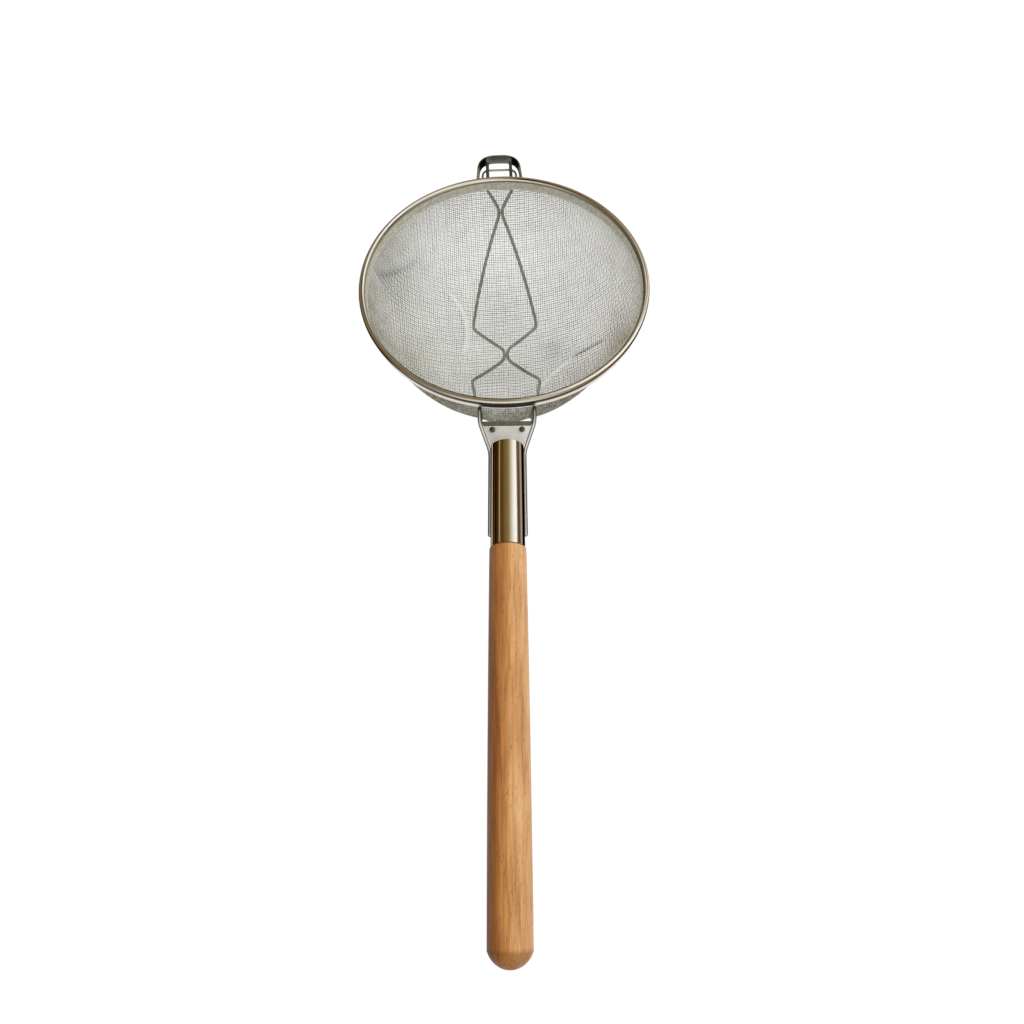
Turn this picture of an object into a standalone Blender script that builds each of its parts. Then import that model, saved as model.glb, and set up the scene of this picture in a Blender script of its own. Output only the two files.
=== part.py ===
"""Reinforced double-mesh strainer with a pan hook, a steel ferrule and a wooden handle.

The pieces are drawn in a working frame: the rim lies flat at z = 0 round the origin,
the pan hook points to +Y and the handle to -Y. An empty then tips them all about X
until the bowl's wires and the handle's end touch the table, z = 0.
"""
import math

import bmesh
import bpy
import numpy as np
from mathutils import Matrix, Vector

MM = 0.001

# Clearance between pieces that touch on the real strainer
TOUCH = 0.3 * MM

# Rolled rim, measured from the centre of its bead
RIM_RADIUS = 130.0 * MM
BEAD_RADIUS = 2.6 * MM
HOOP_WALL = 0.8 * MM
HOOP_DEPTH = 9.7 * MM
CURL_TURN = math.radians(325)
CLAMP_WALL = 0.6 * MM
CLAMP_SHORTFALL = 0.9 * MM

# Mesh bowl, the outside of its outer layer: an oval arch of this power.
# A plain grid of openings stands for the fine wire cloth: columns round the bowl,
# rows up its side, bars between them, a closed foot and a closed band under the rim
BOWL_DEPTH = 100.3 * MM
BOWL_TOP = -4.0 * MM
BOWL_POWER = 2.1
OUTER_MESH_WALL = 0.7 * MM
INNER_MESH_WALL = 0.5 * MM
OPENING_ROWS = 6
OPENING_BAR = 7.0 * MM
CLOSED_FOOT = 22.0 * MM
CLOSED_BAND = 7.0 * MM

# Frame wires under the bowl
WIRE_RADIUS = 1.6 * MM
WIRE_BED = 0.5 * MM
WIRE_LEVEL = -6.6 * MM
BAND_CLEARANCE = 2.0 * MM
SETTLING_DEPTH = 24.3 * MM
NECK_HALF_WIDTH = 22.9 * MM
BEND_REACH = 5.0 * MM
NEAR_RISE = -92.0 * MM
NEAR_BEND = (35.5 * MM, -38.0 * MM)
FAR_BEND = (34.2 * MM, 30.5 * MM)
LOW_JOINT = (-7.0 * MM, 5.5 * MM)
HIGH_JOINT_DROP = (38.0 * MM, 30.5 * MM)
HIGH_FLARE = 13.4 * MM
BOWL_STEP = 9.0 * MM

# Pan hook
HOOK_REACH = 32.5 * MM
HOOK_STRIP_WIDTH = 8.8 * MM
HOOK_STRIP_WALL = 2.0 * MM
HOOK_FOOT_HALF_WIDTH = 22.0 * MM
HOOK_TOP_HALF_WIDTH = 19.0 * MM
HOOK_CORNER = 16.0 * MM
HOOK_WIRE_HALF_GAP = 11.4 * MM
CROSS_WIRE_RADIUS = 1.0 * MM
CROSS_WIRE_REACH = 21.0 * MM
CROSS_WIRE_CORNER = 8.0 * MM
CROSS_WIRE_SLACK = 0.2 * MM
# Hand assembly: the hook and the bowl's far half sit a little turned, and the handle
# with its neck stands a little to the right of the bowl's axis and points back to it
HOOK_TURN = math.radians(1.5)
HANDLE_SHIFT = 2.0 * MM
HANDLE_TURN = math.radians(-0.22)

# Handle and ferrule
HANDLE_LEVEL = -9.5 * MM
NECK_LENGTH = 35.0 * MM
FERRULE_START = RIM_RADIUS + NECK_LENGTH
FERRULE_LENGTH = 89.3 * MM
FERRULE_RADIUS = 13.3 * MM
FERRULE_WALL = 0.9 * MM
SPIGOT_LENGTH = 72.0 * MM
HANDLE_LENGTH = 267.3 * MM
HANDLE_NECK_RADIUS = 14.2 * MM
HANDLE_MIDDLE_RADIUS = 14.75 * MM
HANDLE_END_RADIUS = 14.6 * MM
HANDLE_SHOULDER = 0.8 * MM
DOME_HEIGHT = 10.4 * MM
WIRE_SEAT_ANGLE = math.radians(22)
WIRE_ON_FERRULE = 77.0 * MM
WIRE_LEAD = 1.0 * MM
PIN_SHANK_RADIUS = 0.8 * MM
PIN_HEAD_RADIUS = 1.7 * MM
PIN_CROWN_RADIUS = 1.4 * MM
PIN_HEAD_HEIGHT = 0.7 * MM
PIN_LENGTH = 9.0 * MM
PIN_FROM_FERRULE_END = 16.0 * MM

# Riveted plates that close the neck between the two wires
NECK_BEND = 12.5 * MM
NECK_SAG = 0.8 * MM
PLATE_WALL = 1.2 * MM
PLATE_SETBACK = 3.4 * MM
PLATE_END_GAP = 2.0 * MM
LIP_REACH = 1.0 * MM
BACKING_LENGTH = 14.0 * MM
TAIL_HALF_WIDTH = 8.6 * MM
TAIL_LENGTH = 6.5 * MM
RIVET_HALF_GAP = 12.2 * MM
RIVET_SETBACK = 6.4 * MM
RIVET_SHANK_RADIUS = 1.3 * MM
RIVET_HEAD_RADIUS = 2.4 * MM
RIVET_HEAD_HEIGHT = 2.0 * MM
RIVET_TAIL_HEIGHT = 0.9 * MM
RIVET_TAIL_RADIUS = 2.6 * MM
RIVET_TAIL_END_RADIUS = 2.3 * MM

# How finely round pieces are divided
ROUND_STEPS = 56
FOOT_ROWS = 2
HANDLE_STEPS = 40
BARREL_STEPS = 6
SMALL_STEPS = 20
BOWL_FINE_STEPS = 200
CURL_STEPS = 11
ARC_STEPS = 5
MERGE_DISTANCE = 0.01 * MM
LEG_SHARE = 0.49
ROUNDING = 0.001

# Search for the resting tip
STEEPEST_TIP = math.radians(40)
TIP_HALVINGS = 40

# Sizes that follow from the ones above
BEAD_CENTRE = RIM_RADIUS - BEAD_RADIUS
CURL_RADIUS = BEAD_RADIUS - HOOP_WALL / 2
HOOP_OUTSIDE = BEAD_CENTRE + HOOP_WALL / 2
BOWL_RADIUS = HOOP_OUTSIDE - HOOP_WALL - TOUCH
MESH_EDGE = -BEAD_RADIUS - 2 * TOUCH
WIRE_OFFSET = WIRE_BED + WIRE_RADIUS
WIRE_AT_BAND = HOOP_OUTSIDE + TOUCH + WIRE_RADIUS + WIRE_BED
HOOK_TOP = -BEAD_RADIUS - TOUCH
HOOK_INSIDE = RIM_RADIUS + HOOK_REACH
SEAT_RADIUS = FERRULE_RADIUS + TOUCH + WIRE_RADIUS
SEAT_X = SEAT_RADIUS * math.cos(WIRE_SEAT_ANGLE)
SEAT_Z = HANDLE_LEVEL - SEAT_RADIUS * math.sin(WIRE_SEAT_ANGLE)
NECK_Y = -(RIM_RADIUS + NECK_BEND)
NECK_Z = WIRE_LEVEL - NECK_SAG
NECK_FALL = NECK_Z - SEAT_Z
NECK_RUN = FERRULE_START + WIRE_LEAD + NECK_Y
NECK_SLOPE = math.atan2(NECK_FALL, NECK_RUN)
NECK_SLANT = math.hypot(NECK_FALL, NECK_RUN)
ASKEW = Matrix.Rotation(HOOK_TURN, 3, "Z")
NECK_ASKEW = Matrix.Translation((HANDLE_SHIFT, 0, 0)) @ Matrix.Rotation(HANDLE_TURN, 4, "Z")

# Colours: base colour, metallic and roughness
MATERIALS = {
    "polished_steel": ((0.62, 0.60, 0.57), 1.0, 0.16),
    "matte_steel": ((0.50, 0.49, 0.46), 1.0, 0.42),
    "steel_mesh": ((0.66, 0.67, 0.68), 1.0, 0.34),
    "stamped_steel": ((0.70, 0.69, 0.67), 1.0, 0.28),
    "beech": ((0.62, 0.34, 0.17), 0.0, 0.45),
}


def clear_scene():
    for old in list(bpy.data.objects):
        bpy.data.objects.remove(old, do_unlink=True)


def new_collection(name):
    collection = bpy.data.collections.new(name)
    bpy.context.scene.collection.children.link(collection)
    return collection


def finish(name):
    """The named finish as a Principled material, made once."""
    found = bpy.data.materials.get(name)
    if found:
        return found
    colour, metallic, roughness = MATERIALS[name]
    material = bpy.data.materials.new(name)
    material.use_nodes = True
    shader = material.node_tree.nodes["Principled BSDF"]
    shader.inputs["Base Color"].default_value = (*colour, 1.0)
    shader.inputs["Metallic"].default_value = metallic
    shader.inputs["Roughness"].default_value = roughness
    material.diffuse_color = (*colour, 1.0)
    return material


def place(obj, collection, parent, material):
    collection.objects.link(obj)
    obj.parent = parent
    obj.data.materials.append(finish(material))
    return obj


def smooth(obj, angle=35):
    obj.data.shade_smooth()
    obj.data.set_sharp_from_angle(angle=math.radians(angle))


def turned(name, profile, steps, closed=False):
    """A profile of (radius, height) points turned about Z with a Screw modifier."""
    mesh = bpy.data.meshes.new(name)
    edges = [(i, i + 1) for i in range(len(profile) - 1)]
    if closed:
        edges.append((len(profile) - 1, 0))
    mesh.from_pydata([(r, 0.0, z) for r, z in profile], edges, [])
    obj = bpy.data.objects.new(name, mesh)
    screw = obj.modifiers.new("turn", "SCREW")
    screw.axis = "Z"
    screw.steps = steps
    screw.render_steps = steps
    screw.use_merge_vertices = True
    screw.merge_threshold = MERGE_DISTANCE
    screw.use_smooth_shade = True
    return obj


def round_wire(name, points, radius):
    """A round wire along the points, with flat closed ends."""
    curve = bpy.data.curves.new(name, "CURVE")
    curve.dimensions = "3D"
    curve.bevel_depth = radius
    curve.bevel_resolution = 2
    curve.use_fill_caps = True
    spline = curve.splines.new("POLY")
    spline.points.add(len(points) - 1)
    for spot, point in zip(spline.points, points):
        spot.co = (*point, 1.0)
    return bpy.data.objects.new(name, curve)


def flat_plate(name, outlines, wall):
    """Flat sheet: the first outline is its edge and the others are holes."""
    curve = bpy.data.curves.new(name, "CURVE")
    curve.dimensions = "2D"
    curve.fill_mode = "BOTH"
    curve.extrude = wall / 2
    for outline in outlines:
        spline = curve.splines.new("POLY")
        spline.points.add(len(outline) - 1)
        spline.use_cyclic_u = True
        for spot, (x, y) in zip(spline.points, outline):
            spot.co = (x, y, 0.0, 1.0)
    return bpy.data.objects.new(name, curve)


def circle(x, y, radius, steps):
    turns = [2 * math.pi * i / steps for i in range(steps)]
    return [(x + radius * math.cos(t), y + radius * math.sin(t)) for t in turns]


def mirrored(half):
    """A closed outline from its +X half, listed from one end of the mirror line to the other."""
    return half + [(-x, y) for x, y in reversed(half)]


def rounded(points, reach, steps=ARC_STEPS):
    """The path with each inner corner eased by a curve that starts and ends `reach` away."""
    points = [Vector(p) for p in points]
    path = [points[0]]
    for before, corner, after in zip(points, points[1:], points[2:]):
        back = min(reach, (before - corner).length * LEG_SHARE)
        on = min(reach, (after - corner).length * LEG_SHARE)
        start = corner + (before - corner).normalized() * back
        end = corner + (after - corner).normalized() * on
        for i in range(steps + 1):
            t = i / steps
            path.append(start * (1 - t) ** 2 + corner * 2 * t * (1 - t) + end * t**2)
    path.append(points[-1])
    return path


def divided(points, step):
    """The path with extra points on every leg that is longer than `step`."""
    path = [points[0]]
    for a, b in zip(points, points[1:]):
        pieces = max(1, math.ceil((b - a).length / step - ROUNDING))
        path += [a.lerp(b, (i + 1) / pieces) for i in range(pieces)]
    return path


def side_normals(points):
    """Mitred normals of an open line of (radius, height) points, to its left."""
    line = np.array(points)
    ahead = np.diff(line, axis=0)
    ahead /= np.linalg.norm(ahead, axis=1)[:, None]
    left = np.stack([-ahead[:, 1], ahead[:, 0]], axis=1)
    first = np.vstack([left[:1], left])
    last = np.vstack([left, left[-1:]])
    middle = first + last
    middle /= (middle * first).sum(axis=1)[:, None]
    return middle


def beside(points, distance):
    """The line moved sideways to its left by a distance."""
    moved = np.array(points) + side_normals(points) * distance
    return [tuple(p) for p in moved.tolist()]


def sheet_section(centre_line, wall):
    """Closed outline of a thin sheet along its centre line."""
    return beside(centre_line, wall / 2) + beside(centre_line, -wall / 2)[::-1]


def bowl_rows():
    """The bowl's fine half section, the way along it, and how far along each row's edges lie."""
    turns = np.linspace(0.0, math.pi / 2, BOWL_FINE_STEPS)
    r = BOWL_RADIUS * np.sin(turns) ** (2 / BOWL_POWER)
    z = BOWL_TOP - BOWL_DEPTH * np.cos(turns) ** (2 / BOWL_POWER)
    line = np.stack([r, z], axis=1)
    lengths = np.concatenate([[0.0], np.cumsum(np.linalg.norm(np.diff(line, axis=0), axis=1))])
    room = lengths[-1] - CLOSED_BAND - CLOSED_FOOT
    opening = (room - (OPENING_ROWS - 1) * OPENING_BAR) / OPENING_ROWS
    starts = [CLOSED_FOOT + row * (opening + OPENING_BAR) for row in range(OPENING_ROWS)]
    edges = [start + end for start in starts for end in (0.0, opening)]
    return line, lengths, [0.0, CLOSED_FOOT / 2, *edges, lengths[-1]]


def bowl_line(inset=0.0):
    """Half section of the bowl from its foot on the axis up to the rim, drawn in by `inset`."""
    line, lengths, places = bowl_rows()
    r = np.interp(places, lengths, line[:, 0])
    z = np.interp(places, lengths, line[:, 1])
    points = [*zip(r.tolist(), z.tolist()), (BOWL_RADIUS, MESH_EDGE)]
    points = beside(points, inset)
    return [(0.0, points[0][1])] + points[1:]


def open_faces(bm, line):
    """Faces of the turned bowl that are openings: every other column, every other row."""
    heights = [z for _, z in line]
    column = 2 * math.pi / ROUND_STEPS
    found = []
    for face in bm.faces:
        x, y, z = face.calc_center_median()
        row = sum(height < z for height in heights) - FOOT_ROWS
        turn = math.floor(math.atan2(y, x) / column)
        if 0 < row < 2 * OPENING_ROWS and row % 2 and turn % 2:
            found.append(face)
    return found


def mesh_layer(name, inset, wall):
    """One layer of wire cloth as a thin shell with a plain grid of openings."""
    line = bowl_line(inset)
    whole = turned(name, line[::-1], ROUND_STEPS)
    bpy.context.scene.collection.objects.link(whole)
    graph = bpy.context.evaluated_depsgraph_get()
    mesh = bpy.data.meshes.new_from_object(whole.evaluated_get(graph))
    bpy.data.objects.remove(whole, do_unlink=True)
    bm = bmesh.new()
    bm.from_mesh(mesh)
    bmesh.ops.delete(bm, geom=open_faces(bm, line), context="FACES")
    bm.to_mesh(mesh)
    bm.free()
    obj = bpy.data.objects.new(name, mesh)
    shell = obj.modifiers.new("wall", "SOLIDIFY")
    shell.thickness = wall
    shell.offset = -1
    shell.use_even_offset = True
    return obj


def onto_bowl(point):
    """The point moved along its ray from the bowl's centre to where a wire's centre runs."""
    x, y, z = point
    side = math.hypot(x, y) / (BOWL_RADIUS + WIRE_OFFSET)
    down = max(BOWL_TOP - z, 0.0) / (BOWL_DEPTH + WIRE_OFFSET)
    scale = (side**BOWL_POWER + down**BOWL_POWER) ** (-1 / BOWL_POWER)
    return Vector((x * scale, y * scale, BOWL_TOP + (z - BOWL_TOP) * scale))


def at_radius(x, radius):
    """How far out along Y a point at x lies on a circle about the bowl's axis."""
    return math.sqrt(radius**2 - x**2)


def hook_fall(x):
    """How far the strip's rounded corner has turned back towards the rim at x."""
    past = (x + HOOK_STRIP_WALL / 2 - HOOK_TOP_HALF_WIDTH + HOOK_CORNER) / HOOK_CORNER
    part = 1 - math.sqrt(1 - min(max(past, 0.0), 1.0))
    return HOOK_CORNER * part**2


def frame_wire_path(side):
    """Centre line of one frame wire from the ferrule, under the bowl, to the pan hook."""
    touch_x = WIRE_RADIUS + TOUCH / 2
    band_z = -HOOP_DEPTH - BAND_CLEARANCE
    floor_z = BOWL_TOP - BOWL_DEPTH
    near_y = -at_radius(NECK_HALF_WIDTH, WIRE_AT_BAND)
    far_y = at_radius(HOOK_WIRE_HALF_GAP, WIRE_AT_BAND)
    wire_end = HOOK_INSIDE - TOUCH - hook_fall(HOOK_WIRE_HALF_GAP + WIRE_RADIUS)
    neck = [
        (SEAT_X, -FERRULE_START - WIRE_ON_FERRULE, SEAT_Z),
        (SEAT_X, -FERRULE_START - WIRE_LEAD, SEAT_Z),
        (NECK_HALF_WIDTH, NECK_Y, NECK_Z),
        (NECK_HALF_WIDTH, near_y, WIRE_LEVEL),
        (NECK_HALF_WIDTH, near_y, band_z),
    ]
    under = [
        (NECK_HALF_WIDTH, near_y, -SETTLING_DEPTH),
        (NECK_HALF_WIDTH, NEAR_RISE, BOWL_TOP + NEAR_RISE * BOWL_DEPTH / BOWL_RADIUS),
        (*NEAR_BEND, floor_z),
        (touch_x, LOW_JOINT[0], floor_z),
        (touch_x, LOW_JOINT[1], floor_z),
        (*FAR_BEND, floor_z),
        (touch_x, far_y, BOWL_TOP - HIGH_JOINT_DROP[0]),
        (touch_x, far_y, BOWL_TOP - HIGH_JOINT_DROP[1]),
    ]
    hook = [
        (HIGH_FLARE, at_radius(HIGH_FLARE, WIRE_AT_BAND), band_z),
        (HOOK_WIRE_HALF_GAP, far_y, WIRE_LEVEL),
        (HOOK_WIRE_HALF_GAP, wire_end, WIRE_LEVEL),
    ]
    neck, under, hook = ([Vector((side * x, y, z)) for x, y, z in run] for run in (neck, under, hook))
    neck = [NECK_ASKEW @ p for p in neck]
    under[0].xy = neck[-1].xy
    under = [onto_bowl(p) for p in under]
    path = divided(rounded(neck + under + hook, BEND_REACH), BOWL_STEP)
    low = under[0].z
    path = [onto_bowl(p) if p.z < low and p.y > near_y else p for p in path]
    return [ASKEW @ p if p.y > 0 else p for p in path]


def hook_line(half_foot, half_top, reach, corner):
    """Plan of the hook as a U from the rim at +X round to the rim at -X."""
    out = RIM_RADIUS + reach
    foot = at_radius(half_foot, HOOP_OUTSIDE + 2 * TOUCH)
    half = [(half_foot, foot, 0.0), (half_top, out, 0.0)]
    path = rounded(half + [(-x, y, z) for x, y, z in reversed(half)], corner, ARC_STEPS + 2)
    return path


def hook_strip(name):
    """The flat strip of the hook: an open ribbon on edge, given its wall by Solidify."""
    line = hook_line(
        HOOK_FOOT_HALF_WIDTH, HOOK_TOP_HALF_WIDTH, HOOK_REACH + HOOK_STRIP_WALL / 2, HOOK_CORNER
    )
    top = [(p.x, p.y, HOOK_TOP) for p in line]
    low = [(p.x, p.y, HOOK_TOP - HOOK_STRIP_WIDTH) for p in line]
    count = len(line)
    faces = [(i, i + 1, count + i + 1, count + i) for i in range(count - 1)]
    mesh = bpy.data.meshes.new(name)
    mesh.from_pydata(top + low, [], faces)
    obj = bpy.data.objects.new(name, mesh)
    wall = obj.modifiers.new("wall", "SOLIDIFY")
    wall.thickness = HOOK_STRIP_WALL
    wall.offset = 0.0
    wall.use_even_offset = True
    return obj


def cross_wire_path():
    strip_inside = HOOK_TOP_HALF_WIDTH - HOOK_STRIP_WALL / 2
    half = strip_inside - TOUCH - CROSS_WIRE_RADIUS - CROSS_WIRE_SLACK
    line = hook_line(half, half, CROSS_WIRE_REACH, CROSS_WIRE_CORNER)
    level = WIRE_LEVEL - WIRE_RADIUS - TOUCH - CROSS_WIRE_RADIUS
    return [(p.x, p.y, level) for p in line]


def hoop_section():
    """Skirt and rolled bead of the rim: up the skirt, then once round the bead."""
    line = [(BEAD_CENTRE, -HOOP_DEPTH), (BEAD_CENTRE, -CURL_RADIUS)]
    for i in range(1, CURL_STEPS + 1):
        turn = -math.pi / 2 + CURL_TURN * i / CURL_STEPS
        line.append((BEAD_CENTRE + CURL_RADIUS * math.cos(turn), CURL_RADIUS * math.sin(turn)))
    return sheet_section(line, HOOP_WALL)


def clamp_section():
    """Flat ring that presses both mesh layers against the skirt."""
    outside = BOWL_RADIUS - OUTER_MESH_WALL - INNER_MESH_WALL - 2 * TOUCH - TOUCH
    inside = outside - CLAMP_WALL
    low = CLAMP_SHORTFALL - HOOP_DEPTH
    return [(outside, MESH_EDGE), (outside, low), (inside, low), (inside, MESH_EDGE)]


def neck_edge(v):
    """Half-width between the neck wires, less their radius and clearance, at slope place v."""
    run = NECK_SLANT
    draw_in = (NECK_HALF_WIDTH - SEAT_X) / run
    slack = (WIRE_RADIUS + TOUCH) * math.hypot(1.0, draw_in)
    return NECK_HALF_WIDTH - slack - draw_in * max(-v, 0.0)


def neck_plate_outline():
    front = -PLATE_SETBACK
    back = -(NECK_SLANT - PLATE_END_GAP)
    half = [
        (neck_edge(front), front),
        (neck_edge(back), back),
        (TAIL_HALF_WIDTH, back),
        (TAIL_HALF_WIDTH, back - TAIL_LENGTH),
    ]
    return mirrored(half)


def backing_outline():
    front = LIP_REACH
    back = -BACKING_LENGTH
    half = [(neck_edge(front), front), (neck_edge(0.0), 0.0), (neck_edge(back), back)]
    return mirrored(half)


def rivet_holes():
    reach = RIVET_SHANK_RADIUS + TOUCH
    return [circle(s * RIVET_HALF_GAP, -RIVET_SETBACK, reach, SMALL_STEPS) for s in (1, -1)]


def rivet_profile():
    """Round head, shank and upset tail, from the top of the head down."""
    grip_top = PLATE_WALL / 2 + TOUCH
    grip_low = -PLATE_WALL / 2 - TOUCH - PLATE_WALL - TOUCH
    profile = []
    for i in range(ARC_STEPS + 1):
        turn = math.pi / 2 * i / ARC_STEPS
        z = grip_top + RIVET_HEAD_HEIGHT * math.cos(turn)
        profile.append((RIVET_HEAD_RADIUS * math.sin(turn), z))
    profile += [
        (RIVET_SHANK_RADIUS, grip_top),
        (RIVET_SHANK_RADIUS, grip_low),
        (RIVET_TAIL_RADIUS, grip_low),
        (RIVET_TAIL_END_RADIUS, grip_low - RIVET_TAIL_HEIGHT),
        (0.0, grip_low - RIVET_TAIL_HEIGHT),
    ]
    return profile


def barrel_points(start, end):
    """The handle's gentle swell from its end to its neck: a quadratic through three radii."""
    points = []
    for i in range(1, BARREL_STEPS + 1):
        t = 1 - i / BARREL_STEPS
        neck_share = (1 - t) * (1 - 2 * t)
        middle_share = 4 * t * (1 - t)
        end_share = t * (2 * t - 1)
        r = neck_share * HANDLE_NECK_RADIUS + middle_share * HANDLE_MIDDLE_RADIUS
        points.append((r + end_share * HANDLE_END_RADIUS, start + (end - start) * t))
    return points


def handle_profile():
    """Domed end, long barrel, shoulder and the spigot inside the ferrule.

    Heights run from the ferrule's open end, so the list starts at the dome's tip.
    """
    barrel_start = FERRULE_LENGTH + TOUCH
    barrel_end = barrel_start + HANDLE_LENGTH
    ball = (HANDLE_END_RADIUS**2 + DOME_HEIGHT**2) / (2 * DOME_HEIGHT)
    spread = math.asin(HANDLE_END_RADIUS / ball)
    profile = []
    for i in range(ARC_STEPS + 2):
        turn = spread * i / (ARC_STEPS + 1)
        height = barrel_end + DOME_HEIGHT - ball * (1 - math.cos(turn))
        profile.append((ball * math.sin(turn), height))
    spigot = FERRULE_RADIUS - FERRULE_WALL - TOUCH
    spigot_end = FERRULE_LENGTH - SPIGOT_LENGTH
    eased = HANDLE_SHOULDER * (1 - math.cos(math.pi / 4))
    profile += [
        *barrel_points(barrel_start + HANDLE_SHOULDER, barrel_end),
        (HANDLE_NECK_RADIUS - eased, barrel_start + eased),
        (HANDLE_NECK_RADIUS - HANDLE_SHOULDER, barrel_start),
        (spigot, barrel_start),
        (spigot, spigot_end + HANDLE_SHOULDER),
        (spigot - HANDLE_SHOULDER, spigot_end),
        (0.0, spigot_end),
    ]
    return profile


def ferrule_section():
    inside = FERRULE_RADIUS - FERRULE_WALL
    return [
        (FERRULE_RADIUS, FERRULE_LENGTH),
        (FERRULE_RADIUS, 0.0),
        (inside, 0.0),
        (inside, FERRULE_LENGTH),
    ]


def pin_profile():
    """Brad driven in from below: its head bears on the ferrule, z runs out of the wood."""
    head = FERRULE_RADIUS + TOUCH
    tip = FERRULE_RADIUS - PIN_LENGTH
    return [
        (0.0, head + PIN_HEAD_HEIGHT),
        (PIN_CROWN_RADIUS, head + PIN_HEAD_HEIGHT),
        (PIN_HEAD_RADIUS, head),
        (PIN_SHANK_RADIUS, head),
        (PIN_SHANK_RADIUS, tip + PIN_SHANK_RADIUS),
        (0.0, tip),
    ]


def pin_bore(obj, cutters, parent):
    """Cut the pin's hole, a clearance wider and deeper than the pin."""
    radius = PIN_SHANK_RADIUS + TOUCH
    depth = PIN_LENGTH + 2 * TOUCH
    profile = [
        (0.0, FERRULE_RADIUS + PIN_LENGTH),
        (radius, FERRULE_RADIUS + PIN_LENGTH),
        (radius, FERRULE_RADIUS - depth),
        (0.0, FERRULE_RADIUS - depth),
    ]
    cutter = turned(obj.name + "_pin_bore", profile, SMALL_STEPS)
    cutter.hide_render = True
    cutter.display_type = "WIRE"
    cutters.objects.link(cutter)
    cutter.parent = parent
    bore = obj.modifiers.new("pin bore", "BOOLEAN")
    bore.operation = "DIFFERENCE"
    bore.solver = "EXACT"
    bore.object = cutter


def guide(name, collection, parent, location=(0, 0, 0), rotation=(0, 0, 0)):
    """An empty that carries pieces drawn in their own easy frame."""
    empty = bpy.data.objects.new(name, None)
    collection.objects.link(empty)
    empty.parent = parent
    empty.location = location
    empty.rotation_euler = rotation
    return empty


def make_rim(parts, rest):
    hoop = turned("rim_hoop", hoop_section(), ROUND_STEPS, closed=True)
    place(hoop, parts, rest, "polished_steel")
    ring = turned("rim_clamp_ring", clamp_section(), ROUND_STEPS, closed=True)
    place(ring, parts, rest, "matte_steel")


def make_mesh(parts, rest):
    outer = mesh_layer("outer_mesh_bowl", 0.0, OUTER_MESH_WALL)
    place(outer, parts, rest, "steel_mesh")
    inner = mesh_layer("inner_mesh_bowl", OUTER_MESH_WALL + TOUCH, INNER_MESH_WALL)
    place(inner, parts, rest, "steel_mesh")


def make_frame(parts, rest):
    for name, side in (("frame_wire_left", -1), ("frame_wire_right", 1)):
        wire = round_wire(name, frame_wire_path(side), WIRE_RADIUS)
        place(wire, parts, rest, "polished_steel")


def make_hook(parts, rest):
    askew = guide("hook_askew", parts, rest, (0, 0, 0), (0, 0, HOOK_TURN))
    strip = place(hook_strip("pan_hook_strip"), parts, askew, "polished_steel")
    smooth(strip)
    cross = round_wire("pan_hook_cross_wire", cross_wire_path(), CROSS_WIRE_RADIUS)
    place(cross, parts, askew, "polished_steel")


def make_neck(parts, askew):
    slope = guide("neck_slope", parts, askew, (0, NECK_Y, NECK_Z), (NECK_SLOPE, 0, 0))
    plate = flat_plate("neck_plate", [neck_plate_outline(), *rivet_holes()], PLATE_WALL)
    place(plate, parts, slope, "stamped_steel")
    backing = flat_plate("neck_backing_plate", [backing_outline(), *rivet_holes()], PLATE_WALL)
    place(backing, parts, slope, "stamped_steel")
    backing.location.z = -(PLATE_WALL + TOUCH)
    for name, side in (("neck_rivet_left", -1), ("neck_rivet_right", 1)):
        rivet = turned(name, rivet_profile(), SMALL_STEPS)
        place(rivet, parts, slope, "matte_steel")
        rivet.location = (side * RIVET_HALF_GAP, -RIVET_SETBACK, 0)


def make_handle(parts, cutters, askew):
    where = (0, -FERRULE_START, HANDLE_LEVEL)
    axis = guide("handle_axis", parts, askew, where, (math.pi / 2, 0, 0))
    ferrule = turned("ferrule", ferrule_section(), HANDLE_STEPS, closed=True)
    place(ferrule, parts, axis, "polished_steel")
    handle = turned("wooden_handle", handle_profile(), HANDLE_STEPS)
    place(handle, parts, axis, "beech")
    down = (0, 0, FERRULE_LENGTH - PIN_FROM_FERRULE_END)
    pin_axis = guide("pin_axis", parts, axis, down, (math.pi / 2, 0, 0))
    pin = turned("ferrule_pin", pin_profile(), SMALL_STEPS)
    place(pin, parts, pin_axis, "matte_steel")
    for obj in (ferrule, handle):
        pin_bore(obj, cutters, pin_axis)


def points_of(objects):
    """Every corner of these objects as they are placed now."""
    bpy.context.view_layer.update()
    graph = bpy.context.evaluated_depsgraph_get()
    found = []
    for obj in objects:
        evaluated = obj.evaluated_get(graph)
        mesh = evaluated.to_mesh()
        flat = np.empty(len(mesh.vertices) * 3, np.float32)
        mesh.vertices.foreach_get("co", flat)
        evaluated.to_mesh_clear()
        world = np.array(evaluated.matrix_world)
        found.append(flat.reshape(-1, 3) @ world[:3, :3].T + world[:3, 3])
    return np.concatenate(found)


def lay_down(parts, rest):
    """Tip the strainer about X until bowl and handle both touch the table under it."""
    solids = [obj for obj in parts.objects if obj.type != "EMPTY"]
    handle = [obj for obj in solids if obj.name == "wooden_handle"]
    handle = points_of(handle)
    others = points_of([obj for obj in solids if obj.name != "wooden_handle"])

    def gap(tip):
        heights = [p[:, 1] * math.sin(tip) + p[:, 2] * math.cos(tip) for p in (handle, others)]
        return heights[0].min() - heights[1].min()

    low, high = 0.0, STEEPEST_TIP
    for _ in range(TIP_HALVINGS):
        middle = (low + high) / 2
        low, high = (middle, high) if gap(middle) > 0 else (low, middle)
    rest.rotation_euler = (low, 0, 0)
    everything = points_of(solids)
    lowest = everything.min(axis=0)
    highest = everything.max(axis=0)
    rest.location = (0, -(lowest[1] + highest[1]) / 2, -lowest[2])
    print("resting tip", round(math.degrees(low), 3), "degrees, moved", tuple(rest.location))


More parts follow.
